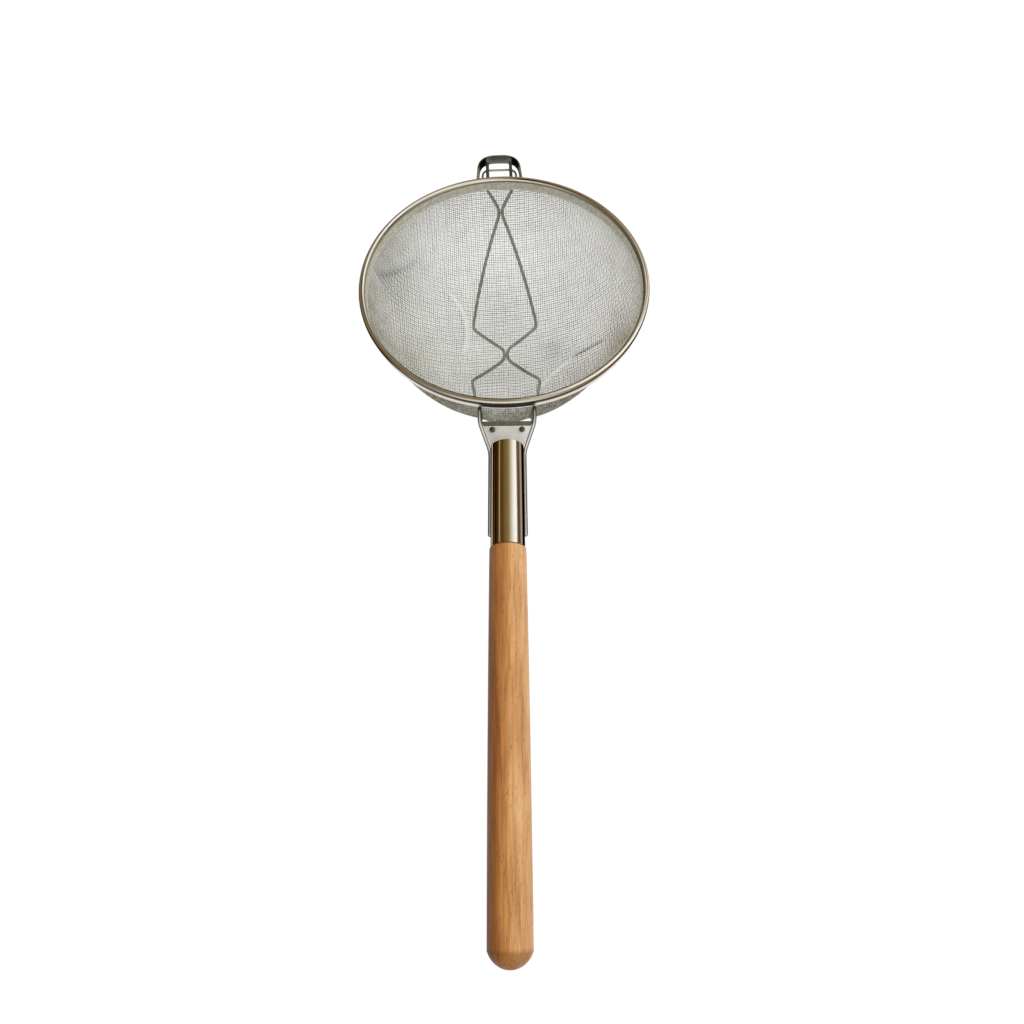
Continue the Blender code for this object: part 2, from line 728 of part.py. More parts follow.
def main():
    clear_scene()
    parts = new_collection("mesh_strainer")
    cutters = new_collection("cutters")
    rest = guide("resting_pose", parts, None)
    make_rim(parts, rest)
    make_mesh(parts, rest)
    make_frame(parts, rest)
    make_hook(parts, rest)
    askew = guide("handle_askew", parts, rest, (HANDLE_SHIFT, 0, 0), (0, 0, HANDLE_TURN))
    make_neck(parts, askew)
    make_handle(parts, cutters, askew)
    lay_down(parts, rest)


main()
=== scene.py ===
# %% [markdown]
# # A reinforced kitchen strainer
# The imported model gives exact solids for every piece. This script dresses them:
# it makes each piece again as a fine surface, gives it a finish worked out from
# noise and waves, and sets up the floor, the light and the camera.

# %% Load the frame and keep its size
import math

import bpy
import numpy as np
from mathutils import Matrix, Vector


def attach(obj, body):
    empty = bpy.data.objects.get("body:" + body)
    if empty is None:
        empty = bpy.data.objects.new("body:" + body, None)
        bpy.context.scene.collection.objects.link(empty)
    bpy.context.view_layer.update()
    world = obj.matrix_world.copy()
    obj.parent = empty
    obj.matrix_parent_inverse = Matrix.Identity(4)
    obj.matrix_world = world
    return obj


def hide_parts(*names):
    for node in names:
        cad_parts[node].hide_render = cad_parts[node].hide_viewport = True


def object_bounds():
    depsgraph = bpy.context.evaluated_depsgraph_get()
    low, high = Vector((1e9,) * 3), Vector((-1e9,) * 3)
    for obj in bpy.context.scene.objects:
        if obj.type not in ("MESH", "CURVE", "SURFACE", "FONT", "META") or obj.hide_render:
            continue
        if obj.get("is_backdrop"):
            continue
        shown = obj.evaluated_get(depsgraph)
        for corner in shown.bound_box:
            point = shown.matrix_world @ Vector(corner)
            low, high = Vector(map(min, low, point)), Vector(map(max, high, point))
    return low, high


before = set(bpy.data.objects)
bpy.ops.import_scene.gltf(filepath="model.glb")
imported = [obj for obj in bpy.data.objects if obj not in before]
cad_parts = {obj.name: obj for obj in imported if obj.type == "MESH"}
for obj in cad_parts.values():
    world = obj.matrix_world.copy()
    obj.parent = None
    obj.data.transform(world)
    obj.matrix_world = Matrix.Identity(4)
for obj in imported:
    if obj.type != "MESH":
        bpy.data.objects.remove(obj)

MM = 0.001
cad_low, cad_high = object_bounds()
print("solid model, low and high corner:", tuple(cad_low), tuple(cad_high))

# %% [markdown]
# ## Where the bowl lies
# The strainer rests on its bowl wires and on the end of its handle, so the rim is
# tipped. Drawing in a tipped frame is awkward, so everything below is drawn with the
# rim flat at z = 0 round the origin, the pan hook at +Y and the handle at -Y. The way
# from there to the table is read off the clamp ring: the average of its corners lies
# on the bowl's axis, and the direction in which they spread least is that axis.

# %% Sizes of the rim and the bowl
RIM_RADIUS = 130.0 * MM
BEAD_RADIUS = 2.6 * MM
HOOP_WALL = 0.8 * MM
HOOP_DEPTH = 9.7 * MM
CLAMP_SHORTFALL = 0.9 * MM
TOUCH = 0.3 * MM
BEAD_CENTRE = RIM_RADIUS - BEAD_RADIUS
HOOP_OUTSIDE = BEAD_CENTRE + HOOP_WALL / 2
BOWL_RADIUS = HOOP_OUTSIDE - HOOP_WALL - TOUCH
BOWL_DEPTH = 100.3 * MM
BOWL_TOP = -4.0 * MM
BOWL_POWER = 2.1
MESH_EDGE = -BEAD_RADIUS - 2 * TOUCH
CLAMP_FOOT = CLAMP_SHORTFALL - HOOP_DEPTH
HANDLE_SHIFT = 2.0 * MM

# %% Read the tipped frame off the clamp ring
ring_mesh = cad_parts["rim_clamp_ring"].data
ring_corners = np.empty(len(ring_mesh.vertices) * 3, np.float32)
ring_mesh.vertices.foreach_get("co", ring_corners)
ring_corners = np.unique(ring_corners.reshape(-1, 3).round(6), axis=0).astype(float)
ring_middle = ring_corners.mean(axis=0)
axis = np.linalg.svd(ring_corners - ring_middle)[2][2]
axis = axis * np.sign(axis[2])
TIP = math.atan2(-axis[1], axis[2])
TIPPED = np.array(
    [[1, 0, 0], [0, math.cos(TIP), -math.sin(TIP)], [0, math.sin(TIP), math.cos(TIP)]]
)
RIM_ORIGIN = ring_middle - TIPPED @ np.array([0, 0, (MESH_EDGE + CLAMP_FOOT) / 2])
print("tip", round(math.degrees(TIP), 3), "degrees, rim centre at", RIM_ORIGIN.round(5))


def in_world(points):
    """The rim's frame turned about X by the tip and moved to the rim's centre."""
    return np.asarray(points, float) @ TIPPED.T + RIM_ORIGIN


# %% [markdown]
# ## From arrays to pieces
# Nearly every piece here is a stack of rings: a profile turned round an axis, or a
# section carried along a path. One helper makes the faces between neighbouring rings,
# closes both ends, and another puts the arrays into a mesh in one go. A closed
# surface's signed volume tells whether its faces point outwards, so that is measured
# and mended for each piece instead of being guessed.

# %% Faces of a stack of rings
def ring_faces(rings, sides, wraps):
    """Quads join point s of ring r to its neighbours; the last ring meets the first if it wraps."""
    r = np.arange(rings if wraps else rings - 1)[:, None]
    s = np.arange(sides)[None, :]
    after_r, after_s = (r + 1) % rings, (s + 1) % sides
    quads = [r * sides + s, r * sides + after_s, after_r * sides + after_s, after_r * sides + s]
    return np.stack(quads, axis=-1).reshape(-1, 4)


def ring_stack(rings, wraps=False):
    """Points and faces of rings (n, k, 3); unless it wraps, each end is closed to its middle."""
    count, sides = rings.shape[:2]
    points = rings.reshape(-1, 3)
    faces = [ring_faces(count, sides, wraps)]
    if not wraps:
        points = np.vstack([points, rings[0].mean(axis=0), rings[-1].mean(axis=0)])
        s = np.arange(sides)
        after = (s + 1) % sides
        low = np.full(sides, count * sides)
        last = (count - 1) * sides
        faces.append(np.stack([after, s, low], axis=-1))
        faces.append(np.stack([last + s, last + after, low + 1], axis=-1))
    return points, faces


# %% One mesh object from arrays
def signed_volume(points, faces):
    """Sum over triangles of a . (b x c) / 6, which is positive when faces point outwards."""
    total = 0.0
    for group in faces:
        a = points[group[:, 0]]
        for k in range(1, group.shape[1] - 1):
            b, c = points[group[:, k]], points[group[:, k + 1]]
            total += float((a * np.cross(b, c)).sum()) / 6
    return total


def add_piece(name, shape, material, nodes=(), sharp=38, tint=None):
    """An object named for the piece, standing for its solids and riding on the one rigid body.

    The tint is a grey or colour for each point, which the steel finishes multiply their colour by.
    Mostly it holds painted reflections, painted light and painted shade.
    """
    points, faces = shape
    points = in_world(points)
    if signed_volume(points, faces) < 0:
        faces = [group[:, ::-1] for group in faces]
    mesh = bpy.data.meshes.new(name)
    corners = np.concatenate([group.ravel() for group in faces]).astype(np.int32)
    sizes = np.concatenate([np.full(len(group), group.shape[1]) for group in faces])
    starts = np.concatenate([[0], np.cumsum(sizes)[:-1]]).astype(np.int32)
    mesh.vertices.add(len(points))
    mesh.vertices.foreach_set("co", points.astype(np.float32).ravel())
    mesh.loops.add(len(corners))
    mesh.loops.foreach_set("vertex_index", corners)
    mesh.polygons.add(len(sizes))
    mesh.polygons.foreach_set("loop_start", starts)
    mesh.update(calc_edges=True)
    mesh.validate()
    mesh.shade_smooth()
    mesh.set_sharp_from_angle(angle=math.radians(sharp))
    mesh.materials.append(material)
    painted = np.ones((len(points), 4), np.float32)
    if tint is not None:
        painted[:len(tint), :3] = tint
    mesh.attributes.new("tint", "FLOAT_COLOR", "POINT").data.foreach_set("color", painted.ravel())
    piece = bpy.data.objects.new(name, mesh)
    bpy.context.scene.collection.objects.link(piece)
    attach(piece, "root")
    if nodes:
        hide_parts(*nodes)
    triangles = int((sizes - 2).sum())
    print(f"{name}: {triangles} triangles, {signed_volume(points, faces) * 1e6:.2f} cm3")
    return piece


# %% [markdown]
# ## Painting by place
# Bright steel hardly has a colour of its own: what tells one piece from another is
# where it turns dark or bright, mostly by what it mirrors and where shade falls. Such a
# tone is painted: it belongs to a place on the piece, so it is worked out for every point
# from a short table of places and colours, and kept in the mesh as an attribute that the
# finish multiplies into its colour. Most of these tones are painted reflections and
# painted shade.

# %% A colour for each point from a table
def tones(places, table):
    """Each of red, green and blue runs straight from stop to stop of the table over the places."""
    stops = np.array([place for place, _ in table], float)
    colours = np.array([np.broadcast_to(colour, 3) for _, colour in table], float)
    return np.stack([np.interp(places, stops, colours[:, k]) for k in range(3)], axis=-1)


def smooth(value, low, high):
    """0 below low, 1 above high, and 3 t^2 - 2 t^3 between them."""
    t = np.clip((value - low) / (high - low), 0, 1)
    return t * t * (3 - 2 * t)


# %% [markdown]
# ## Turning and sweeping
# A spun sheet or a turned rod is one profile of radius and height carried round the
# axis. A wire is a circle carried along a path: the circle has to stay square to the
# path, so its two axes come from the path's direction and a guide that the path never
# runs along. Bent corners are quadratic curves, as a wire bends over a former.

# %% Profiles round the axis
def turned(profile, steps, wraps=False):
    """Each (radius, height) goes once round Z: x = r cos a, y = r sin a, z = height."""
    turn = np.arange(steps) * (2 * math.pi / steps)
    radius, height = np.asarray(profile, float).T
    x = radius[:, None] * np.cos(turn)
    y = radius[:, None] * np.sin(turn)
    z = np.broadcast_to(height[:, None], x.shape)
    return ring_stack(np.stack([x, y, z], axis=-1), wraps)


def arc(centre, radius, start, end, steps):
    """Points on a circle in the profile plane, from one angle to another in degrees."""
    turn = np.radians(np.linspace(start, end, steps))
    return np.stack([centre[0] + radius * np.cos(turn), centre[1] + radius * np.sin(turn)], axis=-1)


# %% Paths
def along(path):
    """Distance from the path's start to each of its points."""
    steps = np.linalg.norm(np.diff(path, axis=0), axis=1)
    return np.concatenate([[0], np.cumsum(steps)])


def path_at(path, places):
    """Points at these distances along the path, straight between its points."""
    lengths = along(path)
    return np.stack([np.interp(places, lengths, path[:, k]) for k in range(3)], axis=-1)


LEG_SHARE = 0.49


def eased(points, reach, steps=9):
    """Each corner becomes start (1-t)^2 + corner 2t(1-t) + end t^2, from `reach` before to `reach` after.

    The reach is never more than LEG_SHARE of a leg, so that neighbouring curves don't meet.
    """
    points = np.asarray(points, float)
    corner = points[1:-1]
    back, on = points[:-2] - corner, points[2:] - corner
    back_length = np.linalg.norm(back, axis=1, keepdims=True)
    on_length = np.linalg.norm(on, axis=1, keepdims=True)
    start = corner + back / back_length * np.minimum(reach, LEG_SHARE * back_length)
    end = corner + on / on_length * np.minimum(reach, LEG_SHARE * on_length)
    t = np.linspace(0, 1, steps)[None, :, None]
    curves = start[:, None] * (1 - t) ** 2 + corner[:, None] * 2 * t * (1 - t) + end[:, None] * t**2
    return np.vstack([points[:1], curves.reshape(-1, 3), points[-1:]])


def crossways(path, guide):
    """Two unit vectors square to the path at each point: way x guide, and way x that."""
    ahead = np.gradient(path, axis=0)
    ahead /= np.linalg.norm(ahead, axis=1, keepdims=True)
    first = np.cross(ahead, guide)
    first /= np.linalg.norm(first, axis=1, keepdims=True)
    return first, np.cross(ahead, first)


NOSE_TURN = np.radians(np.linspace(14, 90, 6))


def wire(path, radius, guide, sides=14, spacing=1.6 * MM):
    """Circle of this radius carried along the path, its ends rounded off as quarter circles."""
    length = along(path)[-1]
    nose = radius * (1 - np.cos(NOSE_TURN))
    nose_radii = radius * np.sin(NOSE_TURN)
    middle = np.linspace(radius, length - radius, max(2, int(length / spacing)))[1:-1]
    places = np.concatenate([nose, middle, (length - nose)[::-1]])
    radii = np.concatenate([nose_radii, np.full(len(middle), radius), nose_radii[::-1]])
    centres = path_at(path, places)
    first, second = crossways(centres, guide)
    turn = (np.arange(sides) * (2 * math.pi / sides))[None, :, None]
    circle = first[:, None] * np.cos(turn) + second[:, None] * np.sin(turn)
    return ring_stack(centres[:, None] + circle * radii[:, None, None])


# %% [markdown]
# ## Shared surface effects
# Two effects come back in every steel: the fine lines that drawing, rolling and
# polishing leave, and the cloudy film of handling. One node group puts them out as
# masks only, so that each finish decides for itself what to do with them. Patterns
# read Object coordinates, which here are metres. The helpers keep the trees short.

# %% Helpers for node trees
NODE_SPACING = 200


def feed(tree, node, values):
    """Each value goes to the input of that name or number; a node's output is linked to it."""
    for key, value in values.items():
        socket = node.inputs[key.replace("_", " ") if isinstance(key, str) else key]
        if isinstance(value, bpy.types.NodeSocket):
            tree.links.new(value, socket)
        else:
            socket.default_value = value


def add_node(tree, kind, *first, **settings):
    """A node right of the last one: values for its first inputs, then properties or inputs by name."""
    node = tree.nodes.new(kind)
    node.location = (NODE_SPACING * len(tree.nodes), 0)
    by_name = {}
    for name, value in settings.items():
        if hasattr(node, name):
            setattr(node, name, value)
        else:
            by_name[name] = value
    feed(tree, node, dict(enumerate(first)))
    feed(tree, node, by_name)
    return node


def calculated(tree, operation, *values):
    """The result of a Math node."""
    return add_node(tree, "ShaderNodeMath", *values, operation=operation).outputs[0]


def ranged(tree, value, low, high, to_low=0.0, to_high=1.0, **settings):
    """The value carried from the range low to high into the range to_low to to_high, and kept there."""
    node = add_node(tree, "ShaderNodeMapRange", value, low, high, to_low, to_high, **settings)
    return node.outputs[0]


def ramped(tree, value, stops):
    """A colour ramp through (position, grey or colour) pairs, read at the value."""
    node = add_node(tree, "ShaderNodeValToRGB", value)
    for k, (position, tone) in enumerate(stops):
        spots = node.color_ramp.elements
        spot = spots[k] if k < 2 else spots.new(position)
        spot.position = position
        spot.color = (*tone, 1) if isinstance(tone, tuple) else (tone, tone, tone, 1)
    return node.outputs[0]


def mixed(tree, share, first, second, blend_type="MIX", **settings):
    """The first colour where the share is 0; where it is 1 the second, or the product of both."""
    settings.update(data_type="RGBA", blend_type=blend_type)
    node = add_node(tree, "ShaderNodeMix", share, **settings)
    feed(tree, node, {6: first, 7: second})
    return node.outputs[2]


def stretched_noise(tree, where, stretch, **settings):
    """Noise over places multiplied by the stretch, which draws it out where that is under 1."""
    drawn = add_node(tree, "ShaderNodeVectorMath", where, stretch, operation="MULTIPLY")
    return add_node(tree, "ShaderNodeTexNoise", drawn.outputs[0], **settings).outputs[0]


def bumped(tree, height, strength, distance):
    """The normal of a surface with this relief."""
    relief = add_node(tree, "ShaderNodeBump", Height=height, Strength=strength, Distance=distance)
    return relief.outputs[0]


def laid_along(tree, origin, turn):
    """Object coordinates from this origin, turned back, so that a pattern lies along its piece."""
    where = add_node(tree, "ShaderNodeTexCoord").outputs["Object"]
    lay = add_node(tree, "ShaderNodeMapping", where, vector_type="TEXTURE")
    feed(tree, lay, {"Location": tuple(origin), "Rotation": turn})
    return lay.outputs[0]


def new_material(name):
    """A material, its node tree and the Principled shader in it."""
    material = bpy.data.materials.new(name)
    material.use_nodes = True
    return material, material.node_tree, material.node_tree.nodes["Principled BSDF"]


# %% Polishing lines: noise drawn out along one axis
def make_polish_lines():
    """A fine noise drawn out by Length along Y gives the mask Lines, and a broad one Clouds."""
    group = bpy.data.node_groups.new("polish_lines", "ShaderNodeTree")
    group.interface.new_socket("Vector", in_out="INPUT", socket_type="NodeSocketVector")
    for label, value in (("Fineness", 2600.0), ("Length", 0.02), ("Cloud Size", 45.0)):
        socket = group.interface.new_socket(label, in_out="INPUT", socket_type="NodeSocketFloat")
        socket.default_value = value
    for label in ("Lines", "Clouds"):
        group.interface.new_socket(label, in_out="OUTPUT", socket_type="NodeSocketFloat")
    given = add_node(group, "NodeGroupInput").outputs
    stretch = add_node(group, "ShaderNodeCombineXYZ", 1.0, given["Length"], 1.0).outputs[0]
    where = given["Vector"]
    fine = stretched_noise(group, where, stretch, Scale=given["Fineness"], Detail=3.0, Roughness=0.6)
    broad = add_node(group, "ShaderNodeTexNoise", where, Scale=given["Cloud Size"])
    feed(group, broad, {"Detail": 4.0, "Roughness": 0.55})
    lines = ranged(group, fine, 0.35, 0.65)
    add_node(group, "NodeGroupOutput", Lines=lines, Clouds=broad.outputs[0])
    return group


polish_lines = make_polish_lines()
print("groups:", [group.name for group in bpy.data.node_groups])


# %% [markdown]
# ## Steel finishes
# All the metal is stainless steel, but no two pieces are finished alike: the rim and
# ferrule are mirror bright, the wires are bright drawn, the plate is satin, the clamp
# ring is dull and the rivets are dark. One maker with a few values covers them, since
# only the colour, the roughness and the strength of the lines differ.

# %% A maker of steel finishes
def steel(
    name, colour, dark, roughness, spread, lines, bump, metallic=1.0,
    fineness=2600.0, length=0.02, cloud=45.0, edge=None, edge_from=0.16, edge_to=0.46, gloss=0.5,
):
    """Colour between two tones by Clouds, times the tint; roughness round a mean; bump from Lines.

    `lines` is the share of Lines in the roughness, and Clouds have the rest. With an edge tone, the
    colour turns to it where the surface falls away from sight: a painted dark reflection along the
    sides of round bright bars.
    """
    material, tree, shader = new_material(name)
    lay = laid_along(tree, RIM_ORIGIN, (TIP, 0, 0))
    marks = add_node(
        tree, "ShaderNodeGroup", node_tree=polish_lines,
        Vector=lay, Fineness=fineness, Length=length, Cloud_Size=cloud,
    ).outputs
    mirrored = add_node(tree, "ShaderNodeAttribute", attribute_name="tint").outputs["Color"]
    tone = ramped(tree, marks["Clouds"], [(0.32, dark), (0.62, colour)])
    tone = mixed(tree, 1.0, tone, mirrored, "MULTIPLY", clamp_result=True)
    if edge:
        facing = add_node(tree, "ShaderNodeLayerWeight", Blend=0.5).outputs["Facing"]
        falling = ranged(tree, facing, edge_from, edge_to)
        tone, mirrored = [mixed(tree, falling, plain, (*edge, 1)) for plain in (tone, mirrored)]
    cloudy = calculated(tree, "MULTIPLY", marks["Clouds"], 1 - lines)
    uneven = calculated(tree, "MULTIPLY_ADD", marks["Lines"], lines, cloudy)
    feed(tree, shader, {
        "Metallic": metallic, "Specular IOR Level": gloss,
        "Base Color": tone, "Specular Tint": mirrored,
        "Roughness": ranged(tree, uneven, 0.0, 1.0, roughness - spread, roughness + spread),
        "Normal": bumped(tree, marks["Lines"], bump, 0.02 * MM),
    })
    return material


# %% The steels of this strainer
# The edge tones below are painted dark reflections along the sides of round bars and of the hook strip.
rim_steel = steel(
    "rim_steel", (0.92, 0.90, 0.85), (0.80, 0.78, 0.72), 0.24, 0.05, 0.4, 0.2,
    metallic=0.35, cloud=30.0, gloss=0.2,
)
hook_steel = steel(
    "hook_steel", (0.56, 0.54, 0.48), (0.44, 0.425, 0.375), 0.36, 0.06, 0.4, 0.25,
    metallic=0.95, cloud=60.0, edge=(0.14, 0.125, 0.10), edge_from=0.66, edge_to=0.92, gloss=0.1,
)
wire_steel = steel(
    "wire_steel", (0.90, 0.88, 0.83), (0.72, 0.70, 0.65), 0.34, 0.08, 0.5, 0.3,
    metallic=0.35, cloud=70.0, edge=(0.07, 0.06, 0.045), edge_from=0.03, edge_to=0.24, gloss=0.1,
)
hook_wire_steel = steel(
    "hook_wire_steel", (0.62, 0.60, 0.54), (0.46, 0.44, 0.40), 0.32, 0.08, 0.5, 0.3,
    metallic=0.4, cloud=90.0, edge=(0.13, 0.12, 0.09), edge_from=0.05, edge_to=0.35, gloss=0.2,
)
band_steel = steel(
    "band_steel", (0.70, 0.68, 0.57), (0.50, 0.485, 0.395), 0.50, 0.10, 0.3, 0.3,
    metallic=0.35, cloud=260.0,
)
plate_steel = steel(
    "plate_steel", (0.86, 0.855, 0.82), (0.70, 0.695, 0.66), 0.18, 0.05, 0.4, 0.35,
    metallic=0.35, cloud=70.0,
)
rivet_steel = steel(
    "rivet_steel", (0.17, 0.155, 0.13), (0.06, 0.052, 0.045), 0.38, 0.12, 0.3, 0.3,
    metallic=0.7, cloud=300.0,
)
ferrule_steel = steel(
    "ferrule_steel", (0.96, 0.94, 0.89), (0.88, 0.85, 0.78), 0.08, 0.03, 0.6, 0.01,
    fineness=1800.0, length=0.006,
)
coarse_steel = steel(
    "coarse_cloth_steel", (0.43, 0.425, 0.38), (0.29, 0.285, 0.25), 0.42, 0.08, 0.4, 0.2,
    metallic=0.3, cloud=55.0,
)
fine_steel = steel(
    "fine_cloth_steel", (0.88, 0.88, 0.82), (0.71, 0.71, 0.65), 0.40, 0.08, 0.4, 0.2,
    metallic=0.3, cloud=55.0,
)
print("steels made:", len(bpy.data.materials))

# %% [markdown]
# ## Rim hoop
# The rim is one steel band. Its lower part stands upright round the mesh, and its top
# is rolled outwards into a hollow bead that stiffens the bowl and is kind to hands.
# Rolling leaves a true arc, so the profile is the upright line, an arc that turns
# nearly all the way round, and the same line again one wall thickness to the side.

# %% The band's section, turned round the bowl
CURL_RADIUS = BEAD_RADIUS - HOOP_WALL / 2
CURL_START, CURL_END, CURL_STEPS = -90, 235, 66
SKIRT_STEPS, SKIRT_FLARE, HOOP_STEPS = 16, 0.15 * MM, 300


def sheet_section(line, wall):
    """Outline of a thin sheet: the centre line moved half a wall to its left, then back on its right."""
    line = np.asarray(line, float)
    ahead = np.gradient(line, axis=0)
    ahead /= np.linalg.norm(ahead, axis=1, keepdims=True)
    left = np.stack([-ahead[:, 1], ahead[:, 0]], axis=-1) * wall / 2
    return np.vstack([line + left, (line - left)[::-1]])


curl = arc((BEAD_CENTRE, 0.0), CURL_RADIUS, CURL_START, CURL_END, CURL_STEPS)
skirt_heights = np.linspace(-HOOP_DEPTH, -CURL_RADIUS - 0.2 * MM, SKIRT_STEPS)
skirt = np.stack([np.full(SKIRT_STEPS, BEAD_CENTRE), skirt_heights], axis=-1)
skirt[0, 0] += SKIRT_FLARE
hoop_section = sheet_section(np.vstack([skirt, curl]), HOOP_WALL)
hoop_points, hoop_faces = turned(hoop_section, HOOP_STEPS, wraps=True)

# %% The rim's painted reflections and painted shade
BLACK, BROWN, GOLD = (0.02, 0.014, 0.010), (0.13, 0.085, 0.045), (0.36, 0.24, 0.10)
OLIVE, CREAM, PALE = (0.36, 0.29, 0.17), (1.0, 0.96, 0.89), (0.48, 0.45, 0.37)
BEAD_REFLECTIONS = {
    -50: [
        (50, BLACK), (60, GOLD), (70, GOLD), (76, BLACK), (84, BROWN), (92, OLIVE),
        (108, OLIVE), (116, BLACK), (230, BROWN),
    ],
    0: [
        (16, BLACK), (24, CREAM), (54, CREAM), (62, BROWN), (70, OLIVE), (98, OLIVE),
        (106, BLACK), (230, BROWN),
    ],
    28: [
        (10, BLACK), (24, OLIVE), (50, BROWN), (60, CREAM), (98, CREAM), (108, BLACK), (230, BROWN),
    ],
    55: [
        (46, BLACK), (54, CREAM), (90, CREAM), (99, BLACK), (112, OLIVE), (124, BROWN), (230, BROWN),
    ],
    90: [
        (42, BLACK), (50, CREAM), (58, CREAM), (66, OLIVE), (90, GOLD), (100, CREAM),
        (112, CREAM), (120, BLACK), (136, OLIVE), (152, BLACK), (230, PALE),
    ],
    135: [
        (66, BLACK), (80, GOLD), (108, GOLD), (116, BLACK), (132, OLIVE), (148, OLIVE),
        (158, BLACK), (176, PALE), (230, PALE),
    ],
    172: [
        (80, OLIVE), (102, OLIVE), (108, BLACK), (134, BLACK), (142, CREAM), (166, CREAM),
        (174, BLACK), (190, PALE), (230, PALE),
    ],
    190: [
        (90, OLIVE), (104, BLACK), (114, CREAM), (160, CREAM), (170, BLACK), (182, PALE), (230, PALE),
    ],
    235: [
        (84, BROWN), (96, CREAM), (130, CREAM), (138, BLACK), (160, BLACK), (172, PALE), (230, PALE),
    ],
    270: [
        (48, BLACK), (58, GOLD), (80, OLIVE), (88, BLACK), (108, BLACK), (116, CREAM),
        (136, CREAM), (150, PALE), (230, PALE),
    ],
}
FIRST_PLACE = min(BEAD_REFLECTIONS)
SKIRT_WHITE = (1.0, 0.95, 0.91)
# The skirt's tones: a painted shade, brown to black, just under the bead; SHADED_TONES is the painted
# shade between the neck's wires.
SKIRT_TONES = [(-9.7, 0.80), (-9.2, SKIRT_WHITE), (-6.4, SKIRT_WHITE), (-5.4, BROWN), (-2.4, BLACK)]
SHADED_TONES = [(-9.7, 1.0), (-8.9, 1.0), (-8.4, BLACK), (-2.4, BLACK)]
SKIRT_TOP = -2.3


def rim_reflections_and_shade(points):
    """Over the bead the tone follows atan2(height, radius - bead centre), on the skirt the height.

    BEAD_REFLECTIONS gives the bead's painted reflections, its bright and dark lines, at a few places
    round the rim, in degrees from the near side to the right, and each point mixes the two places that
    it lies between. The skirt has a painted shade just under the bead, and between the neck's wires
    the whole skirt lies in painted shade.
    """
    x, y, height = points.T / MM
    out = np.hypot(points[:, 0], points[:, 1]) - BEAD_CENTRE
    turn = np.degrees(np.arctan2(points[:, 2], out)) % 360
    turn = np.where(turn > 270, turn - 360, turn)
    round_rim = (np.degrees(np.arctan2(x, -y)) - FIRST_PLACE) % 360 + FIRST_PLACE
    lines = np.stack([tones(turn, table) for table in [*BEAD_REFLECTIONS.values(), BEAD_REFLECTIONS[FIRST_PLACE]]])
    places = np.array([*BEAD_REFLECTIONS, FIRST_PLACE + 360])
    after = np.clip(np.searchsorted(places, round_rim), 1, len(places) - 1)
    before = after - 1
    share = (round_rim - places[before]) / (places[after] - places[before])
    share = np.clip(share, 0, 1)[:, None]
    index = np.arange(len(points))
    bead = lines[before, index] * (1 - share) + lines[after, index] * share
    plain, shaded = tones(height, SKIRT_TONES), tones(height, SHADED_TONES)
    between = (1 - smooth(np.abs(x - HANDLE_SHIFT / MM), 21, 24)) * (y < 0)
    skirt_tone = plain + between[:, None] * (shaded - plain)
    on_skirt = (height < SKIRT_TOP) & (np.abs(out) < 0.6 * MM)
    return np.where(on_skirt[:, None], skirt_tone, bead)


add_piece(
    "rim_hoop_bright", (hoop_points, hoop_faces), rim_steel, ["rim_hoop"],
    sharp=50, tint=rim_reflections_and_shade(hoop_points),
)

# %% [markdown]
# ## Clamp ring
# Inside the skirt a dull flat ring presses both layers of cloth outwards. It is cut
# from strip and never polished. The edges of a strip are slightly rounded and its
# lower edge is turned in a little, which gives the pale line that is seen inside the
# far side of the rim.

# %% The clamp ring's section
CLAMP_WALL = 0.6 * MM
OUTER_CLOTH, INNER_CLOTH = 0.7 * MM, 0.5 * MM
CLAMP_TOP = -0.9 * MM
CLAMP_STEPS, PRINTS, PRINT_DEPTH = 1320, 330, 0.38
CLAMP_POINT_GAP = 0.6 * MM
OUTER_MESH, OUTER_WIRE = 2.3 * MM, 0.54 * MM
clamp_middle = BOWL_RADIUS - OUTER_CLOTH - INNER_CLOTH - 3 * TOUCH - CLAMP_WALL / 2


def divided(line, longest):
    """The same line with points at most this far apart."""
    flat = np.column_stack([line, np.zeros(len(line))])
    length = along(flat)[-1]
    return path_at(flat, np.linspace(0, length, int(length / longest) + 1))[:, :2]


def weave_print(points):
    """1 + depth cos(n a) cos(2 pi z / pitch): the cloth's squares, printed through onto the band."""
    angle = np.arctan2(points[:, 1], points[:, 0])
    squares = np.cos(PRINTS * angle) * np.cos(2 * math.pi * points[:, 2] / OUTER_MESH)
    return (1 + PRINT_DEPTH * squares)[:, None] * np.ones(3)


clamp_line = [(clamp_middle, CLAMP_TOP), (clamp_middle, MESH_EDGE)]
for turned_in, above_foot in ((0.0, 2.2), (0.05, 1.2), (0.2, 0.5), (0.45, 0.0)):
    clamp_line.append((clamp_middle - turned_in * MM, CLAMP_FOOT + above_foot * MM))
clamp_section = sheet_section(divided(np.array(clamp_line), CLAMP_POINT_GAP), CLAMP_WALL)
clamp_points, clamp_faces = turned(clamp_section, CLAMP_STEPS, wraps=True)
add_piece(
    "rim_clamp_band", (clamp_points, clamp_faces), band_steel, ["rim_clamp_ring"],
    sharp=50, tint=weave_print(clamp_points),
)

# %% [markdown]
# ## Wire cloth
# The bowl is two layers of plain-woven wire, a strong open one outside and a finer one
# inside. Woven wire hardly stretches: when it is pressed into a bowl its square meshes
# turn into diamonds. So the cloth is laid as a fisherman lays a net. Two wires run from
# the middle of the bowl along X and Y. Every further crossing is the place on the bowl
# that lies one mesh away from its two known neighbours. All crossings with the same
# i + j depend only on the two rows before, so each such row is one array operation.

